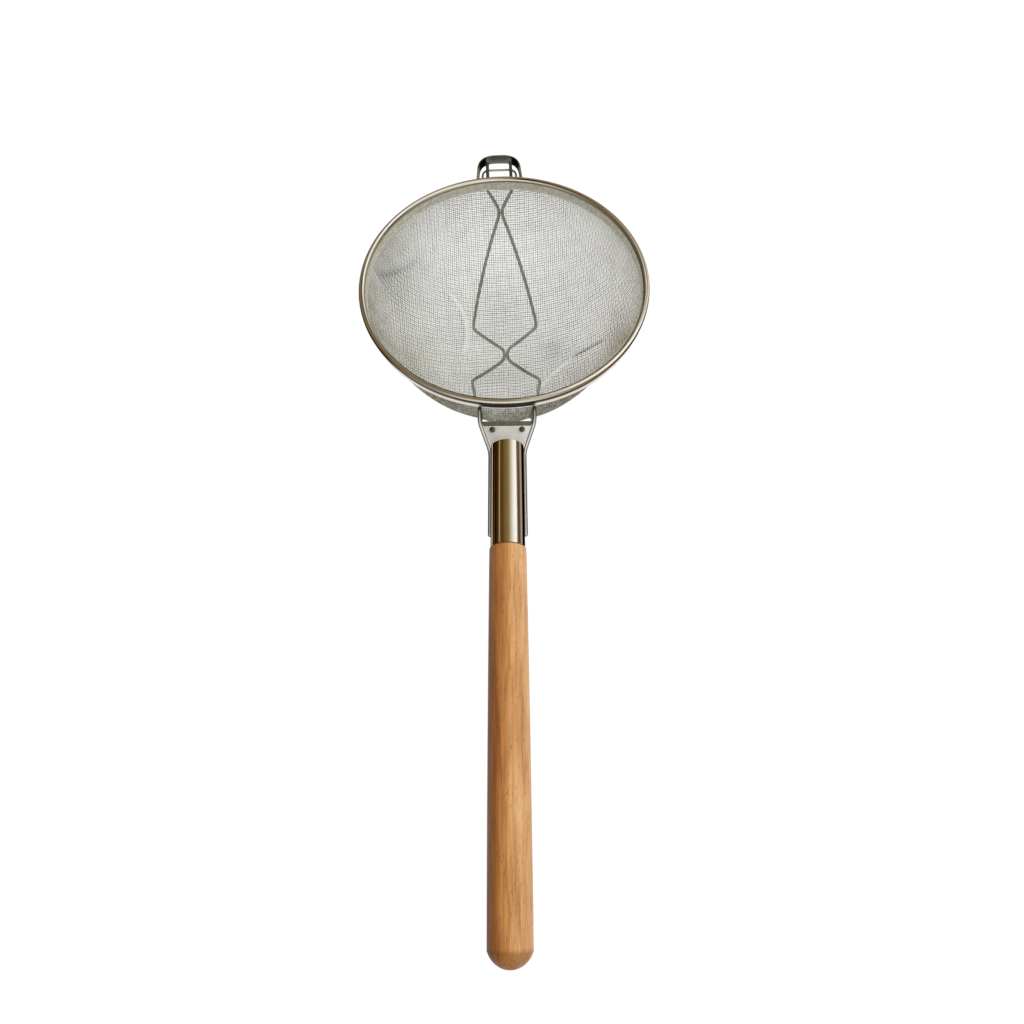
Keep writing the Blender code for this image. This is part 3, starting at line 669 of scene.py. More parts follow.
# %% The bowl as a surface
def onto_bowl(points, outwards=0.0):
    """Points moved on rays from the bowl's centre to (r/a)^p + (depth/b)^p = 1; above it, to r = a."""
    points = np.asarray(points, float)
    side = np.hypot(points[..., 0], points[..., 1]) / (BOWL_RADIUS + outwards)
    height = points[..., 2] - BOWL_TOP
    down = np.maximum(-height, 0) / (BOWL_DEPTH + outwards)
    scale = np.maximum(side**BOWL_POWER + down**BOWL_POWER, 1e-12) ** (-1 / BOWL_POWER)
    moved = points * scale[..., None]
    moved[..., 2] = BOWL_TOP + np.where(down > 0, height * scale, height)
    return moved


def bowl_normal(points, outwards=0.0):
    """Unit gradient of (r/a)^p + (depth/b)^p, which points out of the bowl."""
    a, b, p = BOWL_RADIUS + outwards, BOWL_DEPTH + outwards, BOWL_POWER
    r = np.maximum(np.hypot(points[..., 0], points[..., 1]), 1e-9)
    down = np.maximum(BOWL_TOP - points[..., 2], 0)
    out = (r / a) ** (p - 1) / a
    low = -((down / b) ** (p - 1)) / b
    normal = np.stack([out * points[..., 0] / r, out * points[..., 1] / r, low], axis=-1)
    return normal / np.linalg.norm(normal, axis=-1, keepdims=True)


# %% A quarter of the net, then the whole of it
FINE_STEPS, ABOVE_BOWL, NET_REACH = 1500, 30 * MM, 205 * MM
EASING_ROUNDS, EASING = 12, 0.6


def meridian_steps(mesh_size, count, outwards):
    """Points one mesh apart up from the bowl's foot: fine steps of angle, then picked by length."""
    turn = np.linspace(0, math.pi / 2, FINE_STEPS)
    r = (BOWL_RADIUS + outwards) * np.sin(turn) ** (2 / BOWL_POWER)
    z = BOWL_TOP - (BOWL_DEPTH + outwards) * np.cos(turn) ** (2 / BOWL_POWER)
    line = np.stack([r, np.zeros_like(r), z], axis=-1)
    above = line[-1] + np.array([[0, 0, ABOVE_BOWL]])
    return path_at(np.vstack([line, above]), np.arange(count) * mesh_size)


def quarter_net(mesh_size, count, outwards):
    """Crossing (i, j) starts at (i-1, j) + (i, j-1) - (i-1, j-1), then is eased to a mesh from both."""
    net = np.zeros((count, count, 3))
    spoke = meridian_steps(mesh_size, count, outwards)
    net[:, 0] = spoke
    net[0, :] = spoke[:, [1, 0, 2]]
    for row in range(2, 2 * count - 1):
        i = np.arange(max(1, row - count + 1), min(count - 1, row - 1) + 1)
        j = row - i
        left, below = net[i - 1, j], net[i, j - 1]
        spot = onto_bowl(left + below - net[i - 1, j - 1], outwards)
        for _ in range(EASING_ROUNDS):
            moves = []
            for way in (spot - left, spot - below):
                moves.append(EASING * way * (mesh_size / np.linalg.norm(way, axis=1, keepdims=True) - 1))
            spot = onto_bowl(spot + moves[0] + moves[1], outwards)
        net[i, j] = spot
    return net


def turn_about_z(turn):
    """The matrix that turns points, written as rows, about Z."""
    c, s = math.cos(turn), math.sin(turn)
    return np.array([[c, s, 0], [-s, c, 0], [0, 0, 1]])


def whole_net(mesh_size, outwards, turn=0.0):
    """The quarter mirrored into all four quarters and turned a little about the bowl's axis."""
    count = int(NET_REACH / mesh_size)
    quarter = quarter_net(mesh_size, count, outwards)
    index = np.arange(-(count - 1), count)
    net = quarter[np.abs(index)[:, None], np.abs(index)[None, :]].copy()
    net[..., 0] *= np.sign(index)[:, None]
    net[..., 1] *= np.sign(index)[None, :]
    return net @ turn_about_z(turn)


# %% [markdown]
# ## Creases, dents and patches of painted shade
# Pressing and use have left three creases and two dents in this bowl. Each crease is a
# shallow ridge that stands into the bowl along a bent line, highest in its middle and
# gone at both ends. The line is a quadratic curve seen from above, and the ridge falls
# off on both sides with a sharp crest, as a crease does. A painted highlight runs along
# most crests, a painted dark line along the rest, and a painted shade along one side.
# The dents are broad and soft: on the handle's side, left and right, the wall is pushed
# in just under the hoop, and between them, above the neck, it stands out a little. Soft
# patches of painted shade darken the cloth beside the creases, along the rim and near
# the frame wires.

# %% Their places, in mm and degrees
# A crease: start, bend, end, rise, width, glint (painted highlight) from and to, shade (painted), shaded
# side.
CREASES = [
    ((-63.4, 62.6), (-30.7, 43.5), (-43.3, -5.5), 1.9, 6.0, (1.4, 1.4), 0.50, -1),
    ((-121.0, 29.3), (-111.4, 48.6), (-84.3, 77.5), 2.2, 7.0, (-0.55, -0.30), 0.26, -1),
    ((31.2, -56.8), (51.3, -16.6), (98.3, -12.0), 1.8, 6.0, (2.4, -2.6), 0.30, -1),
]
# A patch of painted shade: place, reach in x and y, loss of red, green and blue.
SHADE_PATCHES = [
    ((-5, 50), (22, 30), (0.40, 0.38, 0.48)), ((46, 0), (13, 12), (0.40, 0.43, 0.50)),
    ((-6, -28), (30, 16), (0.30, 0.29, 0.40)), ((-86, -24), (22, 28), (0.30, 0.30, 0.42)),
    ((108, -20), (13, 32), (0.45, 0.49, 0.57)), ((74, -42), (26, 24), (0.20, 0.21, 0.25)),
    ((-104, 34), (16, 22), (0.30, 0.30, 0.38)),
]
# A dent: place round the rim from the near side, half width, depth, fades from and to.
DENTS = [
    (-54.0, 50.0, 4.0, 30.0, 85.0), (48.0, 38.0, 6.0, 45.0, 95.0), (-1.0, 13.0, -3.2, 45.0, 85.0),
]
CREASE_STEPS, GLINT_WIDTH, SHADE_WIDTH = 61, 1.5 * MM, 7 * MM


# %% Height and tone at any place on the bowl
def dent_height(points):
    """Sum over dents of depth x bell(angle) x rise(height down) x fall(height down), and the slope.

    The bell is 1 at the dent's place round the rim and 0 at its half width. The rise goes from 0 to
    1 between 6 and 18 mm under the rim. The second result is how much the slope there lies in shade.
    """
    angle = np.degrees(np.arctan2(points[..., 0], -points[..., 1]))
    down = -points[..., 2] / MM
    height, slope = np.zeros(points.shape[:-1]), np.zeros(points.shape[:-1])
    for place, half, depth, fade, gone in DENTS:
        bell = 1 - smooth(np.abs(angle - place), 0, half)
        height += depth * MM * bell * smooth(down, 6, 18) * (1 - smooth(down, fade, gone))
        slope += bell * smooth(down, 4, 8) * (1 - smooth(down, 14, 40)) * depth / 6
    return height, np.clip(slope, 0, 1)


def crease_height(points):
    """Sum over creases of rise x bow x exp(-distance / width), from the nearest place t on the line.

    The bow is sqrt(4 t (1 - t)). The second result is the tone: 1 + glint x bow x exp(-(distance /
    glint width)^2) on the crest, a painted highlight that is a painted dark line where the glint is
    below 0, the glint running from its first to its last value, less a painted shade on one side, and
    then the loss of each patch of painted shade.
    """
    height, tone = np.zeros(points.shape[:-1]), np.ones(points.shape[:-1])
    t = np.linspace(0, 1, CREASE_STEPS)[:, None]
    for start, bend, end, rise, width, glint, shade, side in CREASES:
        line = np.outer((1 - t) ** 2, start) + np.outer(2 * t * (1 - t), bend) + np.outer(t**2, end)
        line = line * MM
        ahead = np.gradient(line, axis=0)
        near, place, across = np.ones(height.shape), np.zeros(height.shape), np.zeros(height.shape)
        for spot, way, part in zip(line, ahead, t[:, 0]):
            x, y = points[..., 0] - spot[0], points[..., 1] - spot[1]
            distance = np.hypot(x, y)
            closer = distance < near
            near = np.where(closer, distance, near)
            place = np.where(closer, part, place)
            across = np.where(closer, np.sign(way[0] * y - way[1] * x), across)
        bow = np.sqrt(np.clip(4 * place * (1 - place), 0, 1))
        height += rise * MM * bow * np.exp(-near / (width * MM))
        shine = glint[0] + (glint[1] - glint[0]) * smooth(place, 0.52, 0.72)
        tone += shine * bow * np.exp(-((near / GLINT_WIDTH) ** 2))
        tone -= shade * bow * (across == side) * np.exp(-near / SHADE_WIDTH)
    tone = np.clip(tone, 0.05, 3.0)[..., None] * np.ones(3)
    for spot, reach, loss in SHADE_PATCHES:
        far = (((points[..., :2] / MM - spot) / reach) ** 2).sum(axis=-1)
        tone *= 1 - np.exp(-far)[..., None] * np.array(loss)
    return height, tone


# %% [markdown]
# ## Weaving
# At each crossing one wire rides over and the other under, and at the next they swap,
# so a wire's height is plus or minus half its thickness in turn. The wires are four-
# sided and smoothly shaded: there are tens of thousands of crossings, and at arm's
# length nothing more can be seen. Warp and weft are separate pieces, and the fine
# cloth is split again, to keep each mesh at a size that is easy to handle.

# %% Wires of one direction as one array operation
OUTSIDE_SHADE = np.array([0.80, 0.765, 0.66])
GRAIN, RIDE = 0.75, 0.46
CORNER_TURN = np.radians([45, 135, 225, 315])
CLOTH_EDGE = MESH_EDGE - 0.2 * MM
cloth_chance = np.random.default_rng(7)


def woven_wires(net, normals, tint, wire_size, over):
    """Four corners round each crossing, raised by over x (-1)^(i+j), joined along the second index.

    The two corners that face out of the bowl carry a painted shade, with a random grain in it.
    """
    count_i, count_j = net.shape[:2]
    inside = net[..., 2] < CLOTH_EDGE
    joined = inside[:, :-1] & inside[:, 1:]
    used = np.zeros_like(inside)
    used[:, :-1] |= joined
    used[:, 1:] |= joined
    flip = 1.0 - 2.0 * ((np.arange(count_i)[:, None] + np.arange(count_j)) % 2)
    centres = net + normals * (over * RIDE * wire_size * flip)[..., None]
    ahead = np.gradient(net, axis=1)
    ahead /= np.maximum(np.linalg.norm(ahead, axis=-1, keepdims=True), 1e-12)
    across = np.cross(ahead, normals)
    across /= np.maximum(np.linalg.norm(across, axis=-1, keepdims=True), 1e-12)
    sideways, upwards = np.cos(CORNER_TURN)[:, None], np.sin(CORNER_TURN)[:, None]
    square = across[..., None, :] * sideways + normals[..., None, :] * upwards
    corners = (centres[..., None, :] + square * (wire_size / 2))[used].reshape(-1, 3)
    corner_tint = np.repeat(tint[used][:, None], 4, axis=1)
    grain = 1 + GRAIN * cloth_chance.standard_normal((len(corner_tint), 1, 1))
    corner_tint[:, :2] *= OUTSIDE_SHADE * np.clip(grain, 0.2, 1.8)
    corner_tint = corner_tint.reshape(-1, 3)
    index = np.full(inside.shape, -1)
    index[used] = np.arange(int(used.sum())) * 4
    a, b = index[:, :-1][joined], index[:, 1:][joined]
    k = np.arange(4)
    after = (k + 1) % 4
    quads = [a[:, None] + k, a[:, None] + after, b[:, None] + after, b[:, None] + k]
    before, beyond = np.zeros_like(inside), np.zeros_like(inside)
    before[:, 1:] = joined
    beyond[:, :-1] = joined
    starts = index[used & ~before][:, None] + k[::-1]
    ends = index[used & ~beyond][:, None] + k
    return (corners, [np.stack(quads, axis=-1).reshape(-1, 4), starts, ends]), corner_tint


# %% One layer of cloth
SLOPE_SHADE = np.array([0.46, 0.52, 0.62])
PAINTED_RIGHT_LIGHT = 0.40


def add_cloth(name, mesh_size, wire_size, outwards, turn, finish, node, bands):
    """Warp and weft of one layer, each cut into bands of neighbouring wires.

    The net is moved in by the height of creases and dents. Its tone is theirs, times the painted shade of
    the dented slopes, with painted light that makes it lighter to the right.
    """
    net = whole_net(mesh_size, outwards, turn)
    normals = bowl_normal(net, outwards)
    height, tone = crease_height(net)
    dent, slope = dent_height(net)
    # Painted light: the cloth is made lighter towards the right; the slopes of the dents get painted
    # shade.
    lighter = 1 + PAINTED_RIGHT_LIGHT * smooth(net[..., :1] / MM, 40, 110)
    tone = tone * (1 - slope[..., None] * SLOPE_SHADE) * lighter
    net = net - normals * (height + dent)[..., None]
    warp = (net, normals, tone)
    weft = tuple(grid.transpose(1, 0, 2) for grid in warp)
    for label, grids, over in (("warp", warp, 1.0), ("weft", weft, -1.0)):
        edges = np.linspace(0, len(net), bands + 1).astype(int)
        for k, (low, high) in enumerate(zip(edges, edges[1:])):
            sign = -over if low % 2 else over
            shape, painted = woven_wires(*[grid[low:high] for grid in grids], wire_size, sign)
            piece_name = f"{name}_{label}_{k + 1}"
            add_piece(piece_name, shape, finish, [node], sharp=180, tint=painted)


# %% Both layers
INNER_MESH, INNER_WIRE, INNER_TURN = 1.55 * MM, 0.26 * MM, math.radians(3)
add_cloth(
    "outer_cloth", OUTER_MESH, OUTER_WIRE, -0.35 * MM, 0.0, coarse_steel,
    "outer_mesh_bowl", 1,
)
add_cloth(
    "inner_cloth", INNER_MESH, INNER_WIRE, -1.25 * MM, INNER_TURN, fine_steel,
    "inner_mesh_bowl", 2,
)

# %% [markdown]
# ## Frame wires
# Two wires, each in one length, carry the bowl. Each starts beside the ferrule, swings
# out along the neck, dives behind the rim, follows the bowl underneath through two
# welded meetings with its partner, and comes up to run out into the pan hook. The
# places where it bends are sizes in the rim's frame; between them it lies on the bowl.

# %% Sizes of the frame
WIRE_RADIUS = 1.6 * MM
WIRE_BED = 0.5 * MM
WIRE_LEVEL = -6.6 * MM
BAND_CLEARANCE = 2.0 * MM
SETTLING_DEPTH = 24.3 * MM
NECK_HALF_WIDTH = 22.9 * MM
BEND_REACH = 5.0 * MM
NEAR_RISE = -92.0 * MM
NEAR_BEND, FAR_BEND = (35.5 * MM, -38.0 * MM), (34.2 * MM, 30.5 * MM)
LOW_JOINT = (-7.0 * MM, 5.5 * MM)
HIGH_JOINT_DROP = (38.0 * MM, 30.5 * MM)
HIGH_FLARE = 13.4 * MM
HOOK_REACH = 32.5 * MM
HOOK_WIRE_HALF_GAP = 11.4 * MM
HOOK_TURN = math.radians(1.5)
HANDLE_TURN = math.radians(-0.22)
FERRULE_START = 165.0 * MM
FERRULE_LENGTH = 89.3 * MM
FERRULE_RADIUS = 13.3 * MM
HANDLE_LEVEL = -9.5 * MM
WIRE_ON_FERRULE, WIRE_LEAD = 77.0 * MM, 1.0 * MM
WIRE_SEAT_ANGLE = math.radians(22)
NECK_BEND, NECK_SAG = 12.5 * MM, 0.8 * MM
WIRE_OFFSET = WIRE_BED + WIRE_RADIUS
WIRE_AT_BAND = HOOP_OUTSIDE + TOUCH + WIRE_RADIUS + WIRE_BED
SEAT_RADIUS = FERRULE_RADIUS + TOUCH + WIRE_RADIUS
SEAT_X = SEAT_RADIUS * math.cos(WIRE_SEAT_ANGLE)
SEAT_Z = HANDLE_LEVEL - SEAT_RADIUS * math.sin(WIRE_SEAT_ANGLE)
NECK_Y = -(RIM_RADIUS + NECK_BEND)
NECK_Z = WIRE_LEVEL - NECK_SAG
STRIP_WALL = 2.0 * MM
STRIP_HALF_FOOT, STRIP_HALF_TOP, STRIP_CORNER = 22.0 * MM, 19.0 * MM, 16.0 * MM
PATH_STEPS = 420


# %% Two small turns away from true
def turned_with_hook(points):
    """The bowl's far half, y above 0, turned about its axis by the hook's small turn."""
    return np.where(points[:, 1:2] > 0, points @ turn_about_z(HOOK_TURN), points)


def askew(points):
    """The handle and the neck, turned about Z by the handle's small turn and moved to the right."""
    return np.asarray(points, float) @ turn_about_z(HANDLE_TURN) + np.array([HANDLE_SHIFT, 0, 0])


# %% The path of one wire
def hook_fall(x):
    """corner (1 - sqrt(1 - past))^2, how far the strip's rounded corner has turned back at x."""
    past = (x + STRIP_WALL / 2 - STRIP_HALF_TOP + STRIP_CORNER) / STRIP_CORNER
    past = min(max(past, 0.0), 1.0)
    return STRIP_CORNER * (1 - math.sqrt(1 - past)) ** 2


def frame_path(side):
    """Bends joined by straight legs, corners eased, then the stretch under the bowl laid onto it."""
    touch_x = WIRE_RADIUS + TOUCH / 2
    band_z = -HOOP_DEPTH - BAND_CLEARANCE
    floor_z = BOWL_TOP - BOWL_DEPTH
    near_y = -math.sqrt(WIRE_AT_BAND**2 - NECK_HALF_WIDTH**2)
    far_y = math.sqrt(WIRE_AT_BAND**2 - HOOK_WIRE_HALF_GAP**2)
    flare_y = math.sqrt(WIRE_AT_BAND**2 - HIGH_FLARE**2)
    wire_end = RIM_RADIUS + HOOK_REACH - TOUCH - hook_fall(HOOK_WIRE_HALF_GAP + WIRE_RADIUS)
    neck = [
        (SEAT_X, -FERRULE_START - WIRE_ON_FERRULE, SEAT_Z), (SEAT_X, -FERRULE_START - WIRE_LEAD, SEAT_Z),
        (NECK_HALF_WIDTH, NECK_Y, NECK_Z), (NECK_HALF_WIDTH, near_y, WIRE_LEVEL),
        (NECK_HALF_WIDTH, near_y, band_z),
    ]
    under = [
        (NECK_HALF_WIDTH, near_y, -SETTLING_DEPTH),
        (NECK_HALF_WIDTH, NEAR_RISE, BOWL_TOP + NEAR_RISE * BOWL_DEPTH / BOWL_RADIUS),
        (*NEAR_BEND, floor_z), (touch_x, LOW_JOINT[0], floor_z), (touch_x, LOW_JOINT[1], floor_z),
        (*FAR_BEND, floor_z), (touch_x, far_y, BOWL_TOP - HIGH_JOINT_DROP[0]),
        (touch_x, far_y, BOWL_TOP - HIGH_JOINT_DROP[1]),
    ]
    hook = [
        (HIGH_FLARE, flare_y, band_z), (HOOK_WIRE_HALF_GAP, far_y, WIRE_LEVEL),
        (HOOK_WIRE_HALF_GAP, wire_end, WIRE_LEVEL),
    ]
    neck, under, hook = [np.array(bends) * [side, 1, 1] for bends in (neck, under, hook)]
    neck = askew(neck)
    under[0, :2] = neck[-1, :2]
    under = onto_bowl(under, WIRE_OFFSET)
    path = eased(np.vstack([neck, under, hook]), BEND_REACH)
    path = path_at(path, np.linspace(0, along(path)[-1], PATH_STEPS))
    laid = (path[:, 2] < under[0, 2]) & (path[:, 1] > near_y)
    path[laid] = onto_bowl(path[laid], WIRE_OFFSET)
    return turned_with_hook(path)


# %% Both wires, with painted shade under the bowl
UNDER_BOWL_SHADE = np.array([0.50, 0.485, 0.43])
SKIN = 0.01 * MM

for side, label in ((-1, "left"), (1, "right")):
    path = frame_path(side)
    print(label, "wire is", round(along(path)[-1] * 1000), "mm long")
    shape = wire(path, WIRE_RADIUS - SKIN, (1.0, 0.0, 0.0))
    y = shape[0][:, 1:2] / MM
    # Painted shade where the wire runs under the bowl, painted light where it lies beside the ferrule,
    # and lighter again where it runs out to the hook.
    wire_tint = 1 - smooth(y, -127, -118) * (1 - UNDER_BOWL_SHADE)
    wire_tint *= (1 + 0.35 * smooth(-y, 160, 172)) * (1 + 0.5 * smooth(y, 126, 134))
    add_piece(
        f"frame_wire_{label}_drawn", shape, wire_steel, [f"frame_wire_{label}"],
        tint=wire_tint,
    )

# %% [markdown]
# ## Pan hook
# A flat polished strip on edge makes the hook's loop, and a thinner wire is welded
# across it, with both ends curled back to the rim. The strip is a rounded rectangle
# carried along a U in plan; a strip rolled from bright bar has its edges slightly
# broken, which is what catches the light along its top.

# %% The U in plan and a rounded rectangle
def hook_line(half_foot, half_top, reach, corner):
    """From the rim at +X out to the hook's end and back to the rim at -X, corners eased."""
    foot = math.sqrt((HOOP_OUTSIDE + 2 * TOUCH) ** 2 - half_foot**2)
    out = RIM_RADIUS + reach
    bends = [(half_foot, foot, 0), (half_top, out, 0), (-half_top, out, 0), (-half_foot, foot, 0)]
    path = eased(bends, corner, steps=16)
    return path_at(path, np.linspace(0, along(path)[-1], 90))


def rounded_rectangle(half_width, half_height, radius, steps=4):
    """Four quarter circles, one round each corner, listed once round."""
    turn = np.radians(np.linspace(0, 90, steps))[None, :] + np.radians([0, 90, 180, 270])[:, None]
    x = np.array([1, -1, -1, 1])[:, None] * (half_width - radius) + radius * np.cos(turn)
    y = np.array([1, 1, -1, -1])[:, None] * (half_height - radius) + radius * np.sin(turn)
    return np.stack([x, y], axis=-1).reshape(-1, 2)


# %% The strip, with painted shade inside its corners and inside its end
STRIP_WIDTH, STRIP_EASE = 8.8 * MM, 0.35 * MM
STRIP_TOP = -BEAD_RADIUS - TOUCH

strip_path = hook_line(STRIP_HALF_FOOT, STRIP_HALF_TOP, HOOK_REACH + STRIP_WALL / 2, STRIP_CORNER)
strip_path[:, 2] = STRIP_TOP - STRIP_WIDTH / 2
outward = crossways(strip_path, (0.0, 0.0, 1.0))[0]
section = rounded_rectangle(STRIP_WALL / 2, STRIP_WIDTH / 2, STRIP_EASE)
strip_rings = strip_path[:, None] + outward[:, None] * section[:, :1]
strip_points, strip_faces = ring_stack(strip_rings + np.array([0, 0, 1]) * section[:, 1:])
inside = np.tile(section[:, 0] < 0.1 * STRIP_WALL, len(strip_path))
x, y = np.abs(strip_points[:len(inside), 0]) / MM, strip_points[:len(inside), 1] / MM
# Painted shade on the strip's inner face: nearly black inside its corners, grey inside its end.
corner_shade = smooth(x, 11.6, 13.0) * smooth(y, 143, 151)
back_shade = (1 - smooth(x, 11.6, 13.0)) * smooth(y, 150, 155)
strip_tint = 1 - inside * (0.985 * corner_shade + 0.62 * back_shade)
add_piece(
    "pan_hook_strip_bright", (turned_with_hook(strip_points), strip_faces),
    hook_steel, ["pan_hook_strip"], tint=strip_tint[:, None],
)

# %% The cross wire
CROSS_RADIUS, CROSS_REACH, CROSS_CORNER, CROSS_SPARE = 1.0 * MM, 21 * MM, 8 * MM, 0.2 * MM
cross_half = STRIP_HALF_TOP - STRIP_WALL / 2 - TOUCH - CROSS_RADIUS - CROSS_SPARE
cross_path = hook_line(cross_half, cross_half, CROSS_REACH, CROSS_CORNER)
cross_path[:, 2] = WIRE_LEVEL - WIRE_RADIUS - TOUCH - CROSS_RADIUS
add_piece(
    "pan_hook_cross_wire_drawn",
    wire(turned_with_hook(cross_path), CROSS_RADIUS, (0.0, 0.0, 1.0), sides=10),
    hook_wire_steel, ["pan_hook_cross_wire"],
)

# %% [markdown]
# ## Neck plates and rivets
# A satin plate fills the neck between the two wires, and a shorter one lies under it,
# painted dark all over as painted shade.
# Two rivets hold them together. Each plate is a thin rounded section whose width
# changes along the neck, carried down the slope from the rim to the ferrule. Rivets
# are turned: a low dome above, a flattened tail below.

# %% The sloping frame of the neck
NECK_FALL = NECK_Z - SEAT_Z
NECK_RUN = FERRULE_START + WIRE_LEAD + NECK_Y
NECK_SLOPE = math.atan2(NECK_FALL, NECK_RUN)
NECK_SLANT = math.hypot(NECK_FALL, NECK_RUN)
PLATE_WALL = 1.2 * MM


def on_neck(points):
    """x, y down the slope and z out of it, turned about X by the slope, moved to the bend, set askew."""
    c, s = math.cos(NECK_SLOPE), math.sin(NECK_SLOPE)
    points = np.asarray(points, float)
    y = NECK_Y + points[..., 1] * c - points[..., 2] * s
    z = NECK_Z + points[..., 1] * s + points[..., 2] * c
    return askew(np.stack([points[..., 0], y, z], axis=-1))


def neck_edge(v):
    """Half of the room between the wires at place v along the slope."""
    draw_in = (NECK_HALF_WIDTH - SEAT_X) / NECK_SLANT
    slack = (WIRE_RADIUS + TOUCH) * math.hypot(1.0, draw_in)
    return NECK_HALF_WIDTH - slack - draw_in * np.maximum(-v, 0)


def plate(places, half_widths, level, ease=0.35 * MM):
    """Rounded rectangle as wide as the neck at each place, a little smaller at its two end edges."""
    rings = []
    for v, half in zip(places, half_widths):
        less = ease * (v in (places[0], places[-1]))
        shape = rounded_rectangle(half - less, PLATE_WALL / 2 - 0.4 * less, ease - 0.1 * MM)
        rings.append(np.stack([shape[:, 0], np.full(len(shape), v), shape[:, 1] + level], axis=-1))
    return ring_stack(on_neck(np.array(rings)))


# %% Both plates
PLATE_SETBACK, PLATE_END_GAP, EDGE_STEP = 3.4 * MM, 2.0 * MM, 0.3 * MM
PLATE_FRONT = -PLATE_SETBACK
PLATE_BACK = -(NECK_SLANT - PLATE_END_GAP)
TAIL_LENGTH, TAIL_HALF_WIDTH = 6.5 * MM, 8.6 * MM
BACKING_FRONT, BACKING_LENGTH, BACKING_SHADE = 1.0 * MM, 14 * MM, 0.24

places = np.concatenate(
    [
        [PLATE_FRONT, PLATE_FRONT - EDGE_STEP],
        np.linspace(PLATE_FRONT - 1 * MM, PLATE_BACK + 0.5 * MM, 16),
        [PLATE_BACK, PLATE_BACK - EDGE_STEP, PLATE_BACK - TAIL_LENGTH],
    ]
)
widths = np.where(places < PLATE_BACK - 0.1 * MM, TAIL_HALF_WIDTH, neck_edge(places))
add_piece("neck_plate_satin", plate(places, widths, 0.0), plate_steel, ["neck_plate"])

places = np.concatenate(
    [[BACKING_FRONT, 0.7 * BACKING_FRONT], np.linspace(0, -13.5 * MM, 8), [-BACKING_LENGTH]]
)
# The backing plate's tint is a painted shade, dark all over, as it lies under the top plate.
backing_shape = plate(places, neck_edge(places), -PLATE_WALL - TOUCH)
add_piece(
    "neck_backing_plate_shaded", backing_shape, band_steel, ["neck_backing_plate"],
    tint=np.full((len(backing_shape[0]), 3), BACKING_SHADE),
)

# %% Both rivets
RIVET_HALF_GAP, RIVET_SETBACK = 12.2 * MM, 6.4 * MM
RIVET_HEAD, RIVET_HEIGHT, RIVET_SHANK = 2.4 * MM, 2.0 * MM, 1.3 * MM
RIVET_TAIL_RADIUS, RIVET_TAIL_END_RADIUS, RIVET_TAIL_HEIGHT = 2.6 * MM, 2.3 * MM, 0.9 * MM

grip_top = PLATE_WALL / 2 + TOUCH
grip_low = -PLATE_WALL * 1.5 - 2 * TOUCH
head_foot = grip_top - 0.25 * MM
tail_end = grip_low - RIVET_TAIL_HEIGHT
dome_turn = np.radians(np.linspace(6, 90, 12))
dome = np.stack([RIVET_HEAD * np.sin(dome_turn), grip_top + RIVET_HEIGHT * np.cos(dome_turn)], axis=-1)
shank = np.array(
    [
        (RIVET_HEAD - 0.15 * MM, head_foot), (RIVET_SHANK, head_foot), (RIVET_SHANK, grip_low),
        (RIVET_TAIL_RADIUS, grip_low), (RIVET_TAIL_RADIUS, grip_low - 0.5 * MM),
        (RIVET_TAIL_END_RADIUS, tail_end), (0.3 * MM, tail_end),
    ]
)
rivet_points, rivet_faces = turned(np.vstack([dome, shank]), 40)
for side, label in ((-1, "left"), (1, "right")):
    moved = on_neck(rivet_points + [side * RIVET_HALF_GAP, -RIVET_SETBACK, 0])
    add_piece(
        f"neck_rivet_{label}_head", (moved, rivet_faces), rivet_steel,
        [f"neck_rivet_{label}"],
    )

# %% [markdown]
# ## Ferrule, handle and pin
# The ferrule is a polished steel tube over the end of the wood. The handle is turned
# beech: a nearly even barrel, a soft shoulder against the ferrule and a domed end that
# meets the barrel in a faint edge. They share the handle's axis, so they are turned
# round Z in a frame of their own and then laid along -Y.

# %% The handle's axis
def on_handle(points):
    """Height along the handle becomes -Y from the ferrule's mouth, y becomes z, and all is set askew."""
    x, y, z = np.asarray(points, float).T
    return askew(np.stack([x, -FERRULE_START - z, HANDLE_LEVEL + y], axis=-1))


# %% The ferrule, with the stripes that a polished tube mirrors, painted in as painted reflections
FERRULE_WALL = 0.9 * MM
FERRULE_REFLECTIONS = [
    (-90, (0.30, 0.27, 0.24)), (-72, (0.05, 0.04, 0.03)), (-69, (0.05, 0.04, 0.03)),
    (-67, (0.90, 0.82, 0.76)), (-64, (0.90, 0.82, 0.76)), (-61, (0.05, 0.026, 0.014)),
    (-44, (0.12, 0.06, 0.022)), (-38, 1.0), (36, 1.0), (42, (0.36, 0.27, 0.19)),
    (56, (0.44, 0.34, 0.25)), (59, (0.02, 0.016, 0.012)), (80, (0.02, 0.016, 0.012)),
    (90, (0.30, 0.28, 0.25)),
]

lip = FERRULE_WALL / 2
tube_middle = FERRULE_RADIUS - lip
front_lip = arc((tube_middle, lip), lip, 180, 360, 9)
rear_lip = arc((tube_middle, FERRULE_LENGTH - lip), lip, 0, 180, 9)
tube_points, tube_faces = turned(np.vstack([front_lip, rear_lip]), 240, wraps=True)
tube_turn = np.degrees(np.arctan2(tube_points[:, 0], tube_points[:, 1]))
add_piece(
    "ferrule_bright", (on_handle(tube_points), tube_faces), ferrule_steel, ["ferrule"],
    sharp=60, tint=tones(tube_turn, FERRULE_REFLECTIONS),
)

# %% The pin under the ferrule
PIN_FROM_FERRULE_END, PIN_LENGTH, PIN_SHANK_RADIUS = 16.0 * MM, 9.0 * MM, 0.8 * MM
PIN_HEAD_RADIUS, PIN_HEAD_HEIGHT = 1.7 * MM, 0.7 * MM

